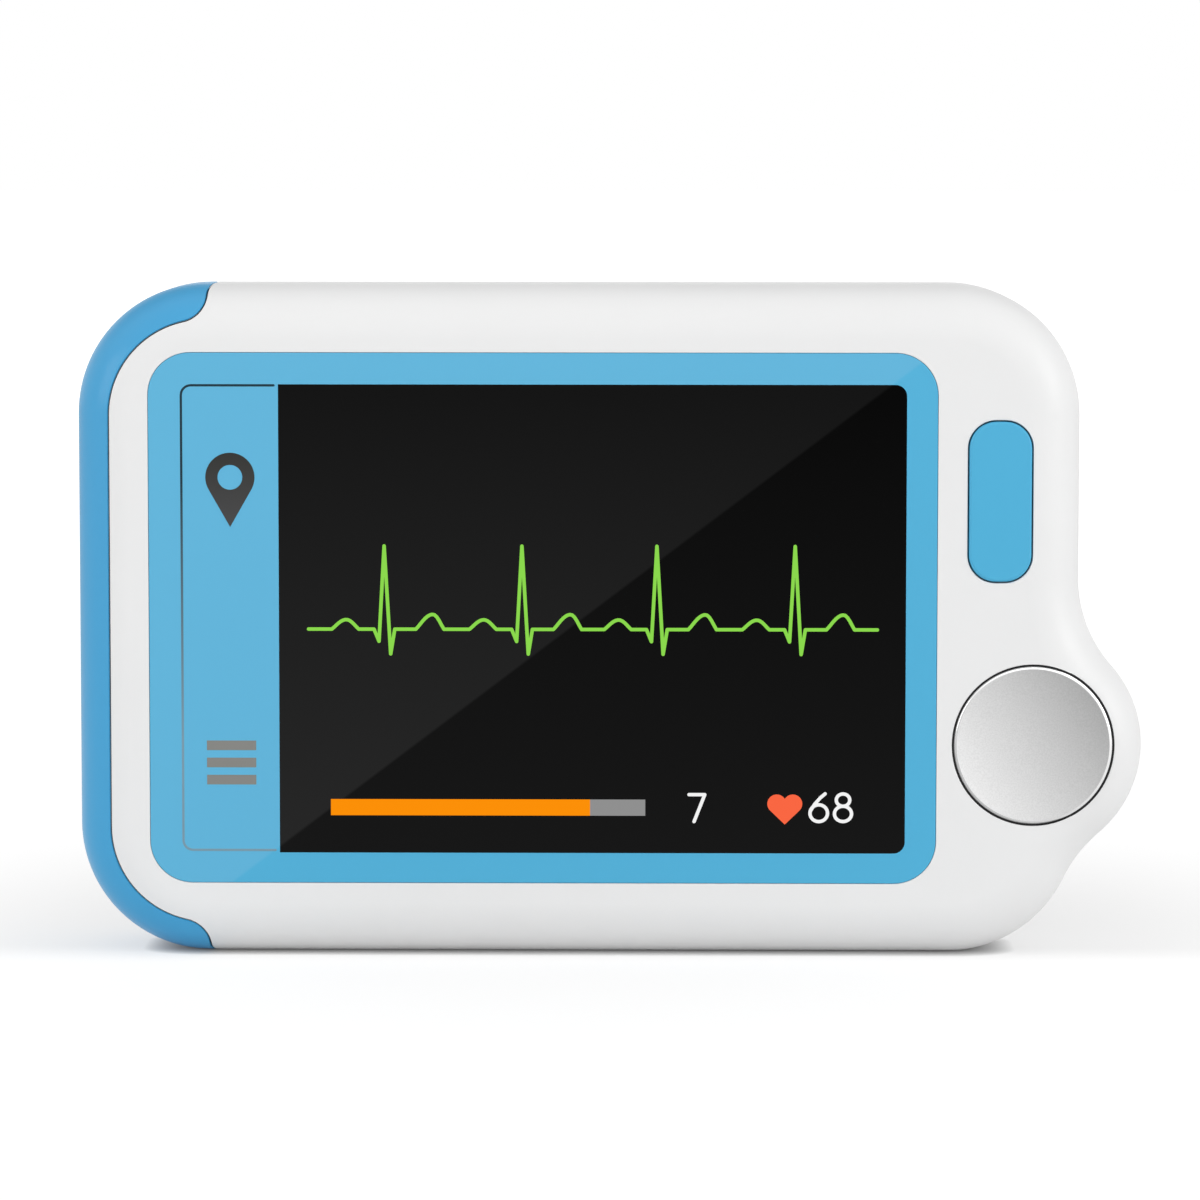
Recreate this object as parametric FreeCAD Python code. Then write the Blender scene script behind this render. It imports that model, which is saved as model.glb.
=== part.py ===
"""Hand-held ECG home monitor: two moulded half shells, a bumper round one end, screen, button and electrodes.

Frame, in millimetres: X runs to the right as the screen is read, Y runs from the screen to the back, and Z is
up. The origin is at the middle of the lower edge, on which the monitor stands.
"""
import FreeCAD, Part
import math
import os

V = FreeCAD.Vector

# ---------------------------------------------------------------- driving dimensions (mm)
# case
overall_width = 98.46       # bumper to the furthest point of the grip
grip_reach = 5.94           # how far the grip stands out from the straight right side
body_height = 62.0
thickness = 14.5
corner_radius = 12.0
front_round = 5.0           # rounding round the front face
rear_round = 4.2            # rounding round the back face
side_wall = 1.7
front_wall = 2.0
rear_wall = 1.7
parting_depth = 7.65        # front face to the joint between the shells
lip_depth = 1.2             # tongue that registers the shells
lip_wall = 0.8
lip_clearance = 0.08

# rounded grip beside the thumb electrode
grip_radius = 10.9
grip_height = 19.4
upper_blend = 12.5
lower_blend = 13.0

# bumper round the left end
bumper_length = 12.15       # along the upper and lower edges
bumper_wall = 1.6
seam_inset = 3.13           # outline of the case to the bumper's seam, on the front and back
seam_turn = 2.6             # round corner where the seam turns towards the edge
seam_flare = 1.0            # opposite curve where it reaches the edge
seam_gap = 0.12
tab_offsets = (-13.0, 7.0)  # above and below the middle of the bumper
tab_width = 6.0
tab_thickness = 1.2
tab_head_thickness = 2.2
tab_head_length = 0.9
tab_clearance = 0.1

# screen window
window_left_margin = 6.83
window_right_margin = 13.29     # to the straight right side
window_bottom_margin = 6.9
window_top_margin = 6.2
window_corner = 3.9
window_thickness = 1.0
window_gap = 0.1
window_edge = 0.2           # bevel round the window
adhesive_thickness = 0.2
adhesive_margin = 0.4

# display module
screen_left_border = 11.95      # edge of the window to the picture
screen_right_border = 2.85
screen_bottom_border = 2.8
screen_top_border = 2.9
opening_margin = 0.8        # hole in the case round the picture
module_left_border = 8.0
module_right_border = 3.6
module_side_border = 3.4
gasket_thickness = 0.2
gasket_width = 1.4
frame_wall = 0.6
frame_floor = 0.3
light_guide_thickness = 0.8
cell_back_thickness = 0.6
cell_front_thickness = 0.8
cell_front_border = 1.6     # front glass round the picture
cell_clearance = 0.08
driver_width = 1.6
driver_length = 20.0
driver_thickness = 0.35
driver_gap = 0.6
display_tape_thickness = 0.25
display_tape_margin = 4.0
rib_thickness = 0.9
rib_length = 9.0
rib_setback = 14.0
rib_gap = 0.2
rib_root = 0.3              # how far ribs and bosses run into the wall

# ribbon of the display
flex_width = 18.0
flex_thickness = 0.14
flex_reach = 0.5            # straight run outside the display frame
flex_bond = 1.4             # length on the cell's ledge
flex_flat = 0.01
flex_socket_width = 3.2
flex_socket_height = 1.2

# touch keys printed on the window's border
key_film_margin = 2.6       # left edge of the window to the film
key_film_width = 7.0
key_film_low_margin = 4.1
key_film_high_margin = 3.8
key_film_thickness = 0.15
key_tail_width = 4.0
key_tail_rise = 3.6         # lower end of the film to the middle of its tail
key_tail_bend = 0.6
socket_setback = 0.8        # board edge to the ribbon sockets
socket_cheek = 1.0          # socket beside its ribbon
key_socket_width = 2.6
key_socket_height = 1.0

# circuit board
board_thickness = 1.0
board_gap = 0.5             # board to the case wall
board_setback = 0.45        # left end of the display to the board
shield_length = 13.0
shield_width = 11.0
shield_height = 1.8
shield_wall = 0.25
shield_inset = 21.29        # straight right side to the middle of the can
shield_z = 12.0
chip_height = 0.9
processor_side = 7.0
processor_gap = 0.3         # socket of the battery's leads to the processor
amplifier_side = 5.0
amplifier_inset = 11.79
amplifier_z = 18.0
memory_side = 5.0
memory_place = (-2.0, 8.5)      # from the middle, and down from the upper edge
charger_side = 3.0
charger_place = (-16.0, 8.0)

# measuring button and its switch
button_inset = 7.54         # straight right side to the middle of the button
button_drop = 19.8          # upper edge to the middle of the button
button_hole_width = 6.02
button_hole_height = 14.97
button_hole_corner = 2.6
button_gap = 0.16
button_proud = 0.2
button_edge = 0.35
button_flange = 0.7         # lip behind the case wall
button_flange_thickness = 0.7
button_travel = 0.4
button_play = 0.05
button_post_radius = 1.5
guide_gap = 0.15
guide_wall = 0.8
guide_height = 1.4
switch_width = 6.0
switch_height = 1.3
plunger_radius = 1.1
plunger_proud = 0.55
plunger_seat = 0.2          # inside the switch at rest
plunger_clearance = 0.06

# electrodes
electrode_offset = (0.57, 0.35)     # from the middle of the grip
electrode_radius = 7.28
electrode_gap = 0.2
electrode_thickness = 1.0
electrode_bevel = 0.28
electrode_dish = 0.25
electrode_dish_radius = 4.4     # flat floor of the dish
electrode_sink = 0.05       # below the case face
stem_radius = 1.4
stem_clearance = 0.1
stem_proud = 0.9            # beyond the wall inside the case
washer_radius = 2.8
washer_thickness = 0.3
pin_barrel_radius = 1.2
pin_tip_radius = 0.7
pin_tip_length = 0.7
plate_length = 34.0         # long electrode in the bumper
plate_width = 4.6
plate_thickness = 0.8
plate_gap = 0.12
plate_sink = 0.03
plate_stem_rise = 14.5      # middle of the plate to its stem
plate_flat = 0.01           # straight run left at its round ends
leaf_width = 2.6
leaf_thickness = 0.25
leaf_foot = 2.0
leaf_bend = 1.0
leaf_rise = 1.8

# battery
battery_inset = 30.29       # straight right side to the end with the leads
battery_length = 46.0
battery_width = 34.0
battery_thickness = 3.8
battery_round = 1.0
battery_pad_thickness = 0.3
battery_pad_margin = 3.0
battery_rib_height = 2.4
lead_width = 1.4
lead_thickness = 0.4
lead_spacing = 2.2
lead_socket_length = 4.0
lead_socket_height = 1.9
lead_socket_width = 4.8
lead_rise = 1.0             # above the middle of the battery
lead_reach = 3.2            # battery to its socket
lead_straight = 0.3

# sounder
buzzer_inset = 18.29        # straight right side to its middle
buzzer_drop = 20.0          # upper edge to its middle
buzzer_radius = 6.0
buzzer_rib_gap = 0.3
buzzer_hole_radius = 1.0
buzzer_hole_depth = 1.0
buzzer_shallow = 0.3        # clearance to the back wall
slot_count = 5
slot_pitch = 1.9
slot_width = 0.9
slot_length = 6.5

# charging socket on the lower edge
usb_x = -5.0
usb_width = 7.5
usb_height = 2.5
usb_depth = 5.2
usb_wall = 0.3
usb_inset = 0.6             # mouth below the case surface
usb_corner = 0.9
usb_clearance = 0.35
usb_floor = 0.8
usb_key = 0.6               # cut corners of the mouth
usb_tongue_width = 3.9
usb_tongue_thickness = 0.6

# screws, bosses and props
boss_radius = 2.2
boss_gap = 0.05
spigot_radius = 1.7
board_hole_clearance = 0.1
pilot_clearance = 0.02
pilot_extra = 0.25
screw_radius = 0.95
screw_head_radius = 1.8
screw_head_height = 1.1
screw_length = 7.2
well_radius = 2.1
well_wall = 0.9
well_floor = 1.2
board_screw_radius = 0.75
board_screw_head_radius = 1.3
board_screw_head_height = 0.8
board_screw_length = 3.3
board_boss_radius = 1.6
left_boss_inset = (7.7, 9.6)     # case outline to the screw, along X and Z
right_boss_inset = (7.65, 8.6)
board_boss_inset = 3.9           # from the upper and lower edges
board_boss_x = (-24.0, 12.0)
button_boss_inset = 9.69         # boss between the button and the electrode
button_boss_drop = 11.9
prop_radius = 1.2
prop_inset = 6.0
prop_x = (8.0, -28.0)

# ---------------------------------------------------------------- positions that follow
left_x = -overall_width / 2
right_x = overall_width / 2 - grip_reach     # the straight right side
middle_z = body_height / 2
grip_x = overall_width / 2 - grip_radius
front_y = (button_proud - thickness) / 2
back_y = front_y + thickness
parting_y = front_y + parting_depth
wall_front_y = front_y + front_wall          # inner side of the front wall
wall_back_y = back_y - rear_wall             # inner side of the back wall
beyond = 5.0                                 # how far cutting shapes run past what they cut

module_thickness = frame_floor + light_guide_thickness + cell_back_thickness + cell_front_thickness
module_front_y = wall_front_y + gasket_thickness
module_back_y = module_front_y + module_thickness
board_front_y = module_back_y + display_tape_thickness
board_back_y = board_front_y + board_thickness
seam_x = left_x + seam_inset
inner_left_x = seam_x + seam_gap + side_wall  # inner side of the wall behind the bumper

window_left = left_x + window_left_margin
window_bottom = window_bottom_margin
window_width = right_x - window_right_margin - window_left
window_height = body_height - window_top_margin - window_bottom
screen_left = window_left + screen_left_border
screen_bottom = window_bottom + screen_bottom_border
screen_width = window_width - screen_left_border - screen_right_border
screen_height = window_height - screen_bottom_border - screen_top_border

button_x = right_x - button_inset
button_z = body_height - button_drop
electrode_x = grip_x + electrode_offset[0]
electrode_z = grip_height + electrode_offset[1]
electrode_seat_radius = electrode_radius + electrode_gap
plate_stem_z = middle_z + plate_stem_rise


# ---------------------------------------------------------------- helpers
def box(low, high):
    """A block from its lowest to its highest corner."""
    return Part.makeBox(high[0] - low[0], high[1] - low[1], high[2] - low[2], V(*low))


def rod(x, z, radius, y0, y1):
    """A round bar along Y."""
    return Part.makeCylinder(radius, y1 - y0, V(x, y0, z), V(0, 1, 0))


def fuse(*shapes):
    """One solid of several, with its seams cleaned away."""
    return shapes[0].multiFuse(list(shapes[1:])).removeSplitter()


def polar(centre, radius, degrees):
    """A point in the XZ plane at an angle from +X towards +Z."""
    angle = math.radians(degrees)
    return V(centre[0] + radius * math.cos(angle), 0, centre[1] + radius * math.sin(angle))


def arc(centre, radius, start, end):
    """A round edge in the XZ plane between two angles."""
    middle = (start + end) / 2
    points = [polar(centre, radius, angle) for angle in (start, middle, end)]
    return Part.Arc(*points).toShape()


def bearing(start, end):
    """The angle from one XZ point to another, in degrees."""
    return math.degrees(math.atan2(end[1] - start[1], end[0] - start[0]))


def joined(edges):
    """Arcs in order, with straight edges where one ends apart from the next."""
    chain = []
    for edge, following in zip(edges, edges[1:] + edges[:1]):
        chain.append(edge)
        start = edge.lastVertex(True).Point
        end = following.firstVertex(True).Point
        if start.distanceToPoint(end) > 1e-6:
            chain.append(Part.LineSegment(start, end).toShape())
    return Part.Wire(chain)


def prism(wire, y0, y1):
    """A flat XZ outline made solid between two depths."""
    face = Part.Face(wire)
    face.translate(V(0, y0, 0))
    return face.extrude(V(0, y1 - y0, 0))


def edges_at(shape, y):
    """The edges that lie at one depth."""
    return [e for e in shape.Edges if all(abs(v.Y - y) < 1e-6 for v in e.Vertexes)
            and abs(e.CenterOfMass.y - y) < 1e-6]


def rounded_rectangle(x0, z0, width, height, radius):
    """An XZ outline with four round corners, from its lower left corner."""
    left, right = x0 + radius, x0 + width - radius
    low, high = z0 + radius, z0 + height - radius
    return joined([arc((right, high), radius, 0, 90), arc((left, high), radius, 90, 180),
                   arc((left, low), radius, 180, 270), arc((right, low), radius, 270, 360)])


def ring(outer, inner, y0, y1):
    """The band between two outlines."""
    return prism(outer, y0, y1).cut(prism(inner, y0, y1))


# ---------------------------------------------------------------- outline of the case
def touching_centre(circle_a, circle_b, radius):
    """The centre of an arc that touches two (centre, radius) circles from outside, on their right side."""
    (ax, az), ra = circle_a
    (bx, bz), rb = circle_b
    span = math.hypot(bx - ax, bz - az)
    along = ((ra + radius) ** 2 - (rb + radius) ** 2 + span ** 2) / (2 * span)
    across = math.sqrt((ra + radius) ** 2 - along ** 2)
    ux, uz = (bx - ax) / span, (bz - az) / span
    return (ax + ux * along - uz * across, az + uz * along + ux * across)


def blend_on_side(radius, direction):
    """The centre of an arc that touches the straight right side and the grip."""
    x = right_x + radius
    rise = math.sqrt((radius + grip_radius) ** 2 - (x - grip_x) ** 2)
    return (x, grip_height + direction * rise)


def case_outline(inset):
    """The outline of the case seen from the front, drawn in by an inset."""
    corner = corner_radius - inset
    top, low = body_height - corner_radius, corner_radius
    left, right = left_x + corner_radius, right_x - corner_radius
    grip = (grip_x, grip_height)
    upper = blend_on_side(upper_blend, 1)
    lower = blend_on_side(lower_blend, -1)
    if lower[1] >= low:
        lower_edges = [arc((right, low), corner, 270, 360),
                       arc(lower, lower_blend + inset, 180, bearing(lower, grip))]
    else:
        lower = touching_centre((grip, grip_radius), ((right, low), corner_radius), lower_blend)
        lower_edges = [arc((right, low), corner, 270, 360 + bearing((right, low), lower)),
                       arc(lower, lower_blend + inset, bearing(lower, (right, low)), bearing(lower, grip))]
    return joined([
        arc((right, top), corner, 0, 90),
        arc((left, top), corner, 90, 180),
        arc((left, low), corner, 180, 270),
        *lower_edges,
        arc(grip, grip_radius - inset, bearing(grip, lower), bearing(grip, upper)),
        arc(upper, upper_blend + inset, 360 + bearing(upper, grip), 180),
    ])


def case_block():
    """A solid of the case's outer form, with its two round edges."""
    solid = prism(case_outline(0), front_y, back_y)
    solid = solid.makeFillet(front_round, edges_at(solid, front_y))
    return solid.makeFillet(rear_round, edges_at(solid, back_y))


def case_hollow(side, front, rear):
    """The space inside walls of given thicknesses, with bevels that touch the inner roundings."""
    solid = prism(case_outline(side), front_y + front, back_y - rear)
    bevel = 2 - math.sqrt(2)
    solid = solid.makeChamfer(bevel * (front_round - side), edges_at(solid, front_y + front))
    return solid.makeChamfer(bevel * (rear_round - side), edges_at(solid, back_y - rear))


def bumper_zone(grow):
    """Everything to the left of the bumper's seam, with the seam moved into the case by an amount."""
    corner = (left_x + corner_radius, body_height - corner_radius)
    bend = corner_radius - seam_inset
    end_x = left_x + bumper_length
    turn_x = end_x - seam_turn
    if turn_x < corner[0]:
        turn_z = corner[1] + math.sqrt((bend + seam_turn) ** 2 - (corner[0] - turn_x) ** 2)
        meet = bearing(corner, (turn_x, turn_z))
    else:
        turn_z = corner[1] + bend + seam_turn
        meet = 90
    edges = [
        arc((turn_x, turn_z), seam_turn + grow, 360, 180 + meet),
        arc(corner, bend - grow, meet, 180),
        arc((corner[0], corner_radius), bend - grow, 180, 360 - meet),
        arc((turn_x, body_height - turn_z), seam_turn + grow, 180 - meet, 0),
    ]
    edge_x = end_x + max(grow, seam_flare)
    if grow < seam_flare:
        edges.insert(0, arc((edge_x, turn_z), seam_flare - grow, 90, 180))
        edges.append(arc((edge_x, body_height - turn_z), seam_flare - grow, 180, 270))
    top = [V(edge_x, 0, body_height + beyond), V(left_x - beyond, 0, body_height + beyond)]
    low = [V(edge_x, 0, -beyond), V(left_x - beyond, 0, -beyond)]
    for start, end in ((low[0], low[1]), (low[1], top[1]), (top[1], top[0])):
        edges.append(Part.LineSegment(start, end).toShape())
    return prism(joined(edges), front_y - beyond, back_y + beyond)


outer_block = case_block()
cavity = case_hollow(side_wall, front_wall, rear_wall).cut(bumper_zone(seam_gap + side_wall))
case_body = outer_block.cut(bumper_zone(seam_gap))


def lip_band(inner, outer, depth):
    """A band of the case wall that crosses the joint, between two insets."""
    outside = prism(case_outline(outer), parting_y, parting_y + depth).cut(bumper_zone(seam_gap + outer))
    inside = prism(case_outline(inner), parting_y, parting_y + depth).cut(bumper_zone(seam_gap + inner))
    return outside.cut(inside)


def tab_slots():
    """Slots at the joint for the bumper's tabs, and the hole of its electrode stem."""
    slots = []
    for offset in tab_offsets:
        height = middle_z + offset
        half_z = tab_width / 2 + tab_clearance
        half_y = tab_thickness / 2 + tab_clearance
        slots.append(box((seam_x - beyond, parting_y - half_y, height - half_z),
                         (inner_left_x, parting_y + half_y, height + half_z)))
    slots.append(Part.makeCylinder(stem_radius + stem_clearance, inner_left_x - left_x,
                                   V(left_x, parting_y, plate_stem_z), V(1, 0, 0)))
    return slots


# ---------------------------------------------------------------- places inside the case
left_bosses = [(left_x + left_boss_inset[0], left_boss_inset[1]),
               (left_x + left_boss_inset[0], body_height - left_boss_inset[1])]
right_bosses = [(right_x - right_boss_inset[0], right_boss_inset[1]),
                (right_x - right_boss_inset[0], body_height - right_boss_inset[1])]
case_bosses = left_bosses + right_bosses
boss_seat_y = parting_y + lip_depth          # where the two halves of a boss meet
head_seat_y = boss_seat_y + boss_gap + well_floor
screw_tip_y = head_seat_y - screw_length
board_screw_tip_y = board_back_y - board_screw_length

board_bosses = [(board_boss_x[0], board_boss_inset), (board_boss_x[1], body_height - board_boss_inset),
                (right_x - button_boss_inset, button_z - button_boss_drop)]
props = [(prop_x[0], prop_inset), (prop_x[1], body_height - prop_inset)]

module_left = screen_left - module_left_border
module_right = screen_left + screen_width + module_right_border
module_low = screen_bottom - module_side_border
module_high = screen_bottom + screen_height + module_side_border
screen_middle_z = screen_bottom + screen_height / 2
ledge_y = module_front_y + cell_front_thickness       # front of the cell's back glass

adhesive_back_y = front_y + window_thickness + adhesive_thickness
key_film_left = window_left + key_film_margin
key_film_bottom = window_bottom + key_film_low_margin
key_film_height = window_height - key_film_low_margin - key_film_high_margin
key_film_y = front_y + window_thickness
key_tail_x = key_film_left - key_tail_bend
key_tail_z = key_film_bottom + key_tail_rise
key_tail_y = key_film_y + key_film_thickness / 2      # middle of the film
key_socket_y = board_back_y + key_socket_height / 2
flex_socket_y = board_back_y + flex_socket_height / 2

flange_back_y = wall_front_y + button_play + button_flange_thickness
switch_front_y = board_front_y - switch_height
plunger_front_y = switch_front_y - plunger_proud

battery_back_y = wall_back_y - battery_pad_thickness
battery_front_y = battery_back_y - battery_thickness
battery_right = right_x - battery_inset
battery_left = battery_right - battery_length
battery_bottom = middle_z - battery_width / 2
lead_z = middle_z + lead_rise

board_left = module_left + board_setback
buzzer_x = right_x - buzzer_inset
buzzer_z = body_height - buzzer_drop
shield_x = right_x - shield_inset
processor_x = battery_right + lead_reach + lead_socket_length + processor_gap + processor_side / 2
processor_z = (shield_z + shield_width / 2 + buzzer_z - buzzer_radius) / 2


def button_outline(inset):
    """The outline of the button's hole, drawn in by an inset."""
    width = button_hole_width - 2 * inset
    height = button_hole_height - 2 * inset
    return rounded_rectangle(button_x - width / 2, button_z - height / 2, width, height,
                             button_hole_corner - inset)


def window_outline(inset):
    """The outline of the window, drawn in by an inset."""
    return rounded_rectangle(window_left + inset, window_bottom + inset, window_width - 2 * inset,
                             window_height - 2 * inset, window_corner - inset)


def screen_block(margin, y0, y1):
    """A block round the picture area."""
    return box((screen_left - margin, y0, screen_bottom - margin),
               (screen_left + screen_width + margin, y1, screen_bottom + screen_height + margin))


def module_block(inset, y0, y1):
    """A block inside the display's outline."""
    return box((module_left + inset, y0, module_low + inset), (module_right - inset, y1, module_high - inset))


def usb_opening():
    """The round-cornered hole in the lower wall for the charging socket."""
    half = usb_width / 2 + usb_clearance
    hole = box((usb_x - half, board_back_y - usb_clearance, -beyond),
               (usb_x + half, board_back_y + usb_height + usb_clearance, side_wall + usb_depth))
    upright = [e for e in hole.Edges if abs(e.tangentAt(e.FirstParameter).z) > 0.9]
    return hole.makeFillet(usb_corner, upright)


def strip(points, radii, thickness, z0, z1):
    """A thin strip bent in the XY plane: straight runs through the points, with an arc at each inner one."""
    sides = []
    for side in (-1, 1):
        shift = side * thickness / 2
        sides.append(bent_line(points, radii, shift))
    ends = [Part.LineSegment(sides[0].Vertexes[0].Point, sides[1].Vertexes[0].Point).toShape(),
            Part.LineSegment(sides[0].Vertexes[-1].Point, sides[1].Vertexes[-1].Point).toShape()]
    wire = Part.Wire(Part.__sortEdges__(sides[0].Edges + sides[1].Edges + ends))
    face = Part.Face(wire)
    face.translate(V(0, 0, z0))
    return face.extrude(V(0, 0, z1 - z0))


def bent_line(points, radii, shift):
    """Straight runs and tangent arcs through XY points, moved sideways by a shift."""
    corners = [V(x, y, 0) for x, y in points]
    edges = []
    runs = [(b - a).normalize() for a, b in zip(corners, corners[1:])]
    normal = [V(-run.y, run.x, 0) for run in runs]
    start = corners[0] + normal[0] * shift
    for index, radius in enumerate(radii):
        into, out = runs[index], runs[index + 1]
        turn = math.copysign(1, into.x * out.y - into.y * out.x)
        half = into.getAngle(out) / 2
        tangent = radius * math.tan(half)
        corner = corners[index + 1]
        arc_start = corner - into * tangent
        arc_end = corner + out * tangent
        centre = arc_start + normal[index] * (turn * radius)
        reach = radius - turn * shift
        middle = centre + (corner - centre).normalize() * reach
        first = arc_start + normal[index] * shift
        last = arc_end + normal[index + 1] * shift
        if start.distanceToPoint(first) > 1e-6:
            edges.append(Part.LineSegment(start, first).toShape())
        edges.append(Part.Arc(first, middle, last).toShape())
        start = last
    finish = corners[-1] + normal[-1] * shift
    edges.append(Part.LineSegment(start, finish).toShape())
    return Part.Wire(edges)


# ---------------------------------------------------------------- case
def display_ribs():
    """Short ribs that locate the display on three sides."""
    ribs = []
    for middle in (module_left + rib_setback, module_right - rib_setback):
        for z0 in (module_low - rib_gap - rib_thickness, module_high + rib_gap):
            ribs.append(box((middle - rib_length / 2, wall_front_y - rib_root, z0),
                            (middle + rib_length / 2, module_back_y, z0 + rib_thickness)))
    x0 = module_right + rib_gap
    z0 = module_low + rib_setback - rib_length
    ribs.append(box((x0, wall_front_y - rib_root, z0), (x0 + rib_thickness, module_back_y, z0 + rib_length)))
    return ribs


def button_guide():
    """A collar behind the wall in which the button's flange slides."""
    bore = button_flange + guide_gap
    return ring(button_outline(-bore - guide_wall), button_outline(-bore),
                wall_front_y - rib_root, wall_front_y + guide_height)


def front_shell():
    half = box((left_x - beyond, front_y - beyond, -beyond),
               (overall_width, parting_y, body_height + beyond))
    shell = case_body.cut(cavity).common(half)
    additions = [lip_band(side_wall, side_wall - lip_wall, lip_depth), button_guide()]
    additions += display_ribs()
    for x, z in left_bosses:
        additions.append(rod(x, z, boss_radius, wall_front_y - rib_root, boss_seat_y))
    for x, z in right_bosses:
        additions.append(rod(x, z, boss_radius, wall_front_y - rib_root, board_front_y))
        additions.append(rod(x, z, spigot_radius, board_front_y, boss_seat_y))
    for x, z in board_bosses:
        additions.append(rod(x, z, board_boss_radius, wall_front_y - rib_root, board_front_y))
    shell = fuse(shell, *additions)
    slot_half = key_tail_width / 2 + rib_gap
    cuts = [
        prism(window_outline(-window_gap), front_y - beyond, adhesive_back_y),
        screen_block(opening_margin, front_y, module_front_y),
        box((key_tail_x - key_tail_bend / 2, front_y, key_tail_z - slot_half),
            (key_film_left, module_front_y, key_tail_z + slot_half)),
        prism(button_outline(0), front_y - beyond, board_front_y),
        prism(button_outline(-button_flange - guide_gap), wall_front_y, board_front_y),
        rod(electrode_x, electrode_z, electrode_seat_radius, front_y - beyond,
            front_y + electrode_sink + electrode_thickness),
        rod(electrode_x, electrode_z, stem_radius + stem_clearance, front_y, module_front_y),
        usb_opening(),
    ]
    for x, z in case_bosses:
        cuts.append(rod(x, z, screw_radius + pilot_clearance, screw_tip_y - pilot_extra,
                        boss_seat_y + beyond))
    for x, z in board_bosses:
        cuts.append(rod(x, z, board_screw_radius + pilot_clearance, board_screw_tip_y - pilot_extra,
                        board_back_y))
    return shell.cut(cuts + tab_slots())


def sound_slots():
    """Upright slots in the back wall over the sounder."""
    slots = []
    for index in range(slot_count):
        x = buzzer_x + (index - (slot_count - 1) / 2) * slot_pitch
        slots.append(box((x - slot_width / 2, wall_back_y - rib_root, buzzer_z - slot_length / 2),
                         (x + slot_width / 2, back_y + beyond, buzzer_z + slot_length / 2)))
    return slots


def battery_ribs():
    """Two short ribs on each side of the battery."""
    ribs = []
    y0, y1 = wall_back_y - battery_rib_height, wall_back_y + rib_root
    top = battery_bottom + battery_width
    for x in (battery_left + battery_length / 4, battery_right - battery_length / 4):
        for z0 in (battery_bottom - rib_gap - rib_thickness, top + rib_gap):
            ribs.append(box((x - rib_length / 2, y0, z0), (x + rib_length / 2, y1, z0 + rib_thickness)))
    middle = battery_bottom + battery_width / 2
    for x0 in (battery_left - rib_gap - rib_thickness, battery_right + rib_gap):
        for z in (middle - battery_width / 3, middle + battery_width / 3):
            ribs.append(box((x0, y0, z - rib_length / 4), (x0 + rib_thickness, y1, z + rib_length / 4)))
    return ribs


def rear_shell():
    half = box((left_x - beyond, parting_y, -beyond),
               (overall_width, back_y + beyond, body_height + beyond))
    shell = case_body.cut(cavity).common(half)
    additions = battery_ribs()
    additions.append(rod(buzzer_x, buzzer_z, buzzer_radius + buzzer_rib_gap + guide_wall,
                         wall_back_y - guide_height, wall_back_y + rib_root)
                     .cut(rod(buzzer_x, buzzer_z, buzzer_radius + buzzer_rib_gap, front_y, wall_back_y)))
    for x, z in case_bosses:
        additions.append(rod(x, z, well_radius + well_wall, boss_seat_y + boss_gap, wall_back_y + rib_root))
    for x, z in props:
        additions.append(rod(x, z, prop_radius, board_back_y + boss_gap, wall_back_y + rib_root))
    shell = fuse(shell, *additions)
    cuts = [
        lip_band(side_wall + rib_gap, side_wall - lip_wall - lip_clearance, lip_depth + lip_clearance),
        rod(electrode_x, electrode_z, electrode_seat_radius, back_y - electrode_sink - electrode_thickness,
            back_y + beyond),
        rod(electrode_x, electrode_z, stem_radius + stem_clearance, wall_back_y - rib_root, back_y),
        usb_opening(),
    ]
    for x, z in case_bosses:
        cuts.append(rod(x, z, well_radius, head_seat_y, back_y + beyond))
        cuts.append(rod(x, z, screw_radius + pilot_clearance, boss_seat_y, back_y))
    return shell.cut(cuts + sound_slots() + tab_slots())


def end_cap():
    """The bumper: a channel that wraps the left end, held by tabs that the shells close on."""
    cap = outer_block.common(bumper_zone(0)).cut(case_hollow(bumper_wall, bumper_wall, bumper_wall))
    tabs = []
    head_x = inner_left_x + tab_clearance
    for offset in tab_offsets:
        z0, z1 = middle_z + offset - tab_width / 2, middle_z + offset + tab_width / 2
        tabs.append(box((left_x + bumper_wall - rib_root, parting_y - tab_thickness / 2, z0),
                        (head_x + tab_head_length, parting_y + tab_thickness / 2, z1)))
        tabs.append(box((head_x, parting_y - tab_head_thickness / 2, z0),
                        (head_x + tab_head_length, parting_y + tab_head_thickness / 2, z1)))
    cap = fuse(cap, *tabs)
    seat = plate_blank(plate_width + 2 * plate_gap, plate_length + 2 * plate_gap,
                       plate_thickness + plate_sink)
    hole = Part.makeCylinder(stem_radius + stem_clearance, bumper_wall + beyond,
                             V(left_x, parting_y, plate_stem_z), V(1, 0, 0))
    return cap.cut([seat, hole])


def case_screws():
    """Four screws with pan heads, in the wells of the back."""
    screws = []
    for x, z in case_bosses:
        head = rod(x, z, screw_head_radius, head_seat_y, head_seat_y + screw_head_height)
        screws.append(fuse(head, rod(x, z, screw_radius, screw_tip_y, head_seat_y)))
    return Part.makeCompound(screws)


# ---------------------------------------------------------------- screen
def display_window():
    pane = prism(window_outline(0), front_y, front_y + window_thickness)
    return pane.makeChamfer(window_edge, edges_at(pane, front_y))


def window_adhesive():
    sheet = prism(window_outline(adhesive_margin), front_y + window_thickness, adhesive_back_y)
    film = box((key_tail_x - key_tail_bend / 2, front_y, key_film_bottom - rib_gap),
               (key_film_left + key_film_width + rib_gap, wall_front_y,
                key_film_bottom + key_film_height + rib_gap))
    return sheet.cut([screen_block(opening_margin, front_y, wall_front_y), film])


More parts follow.
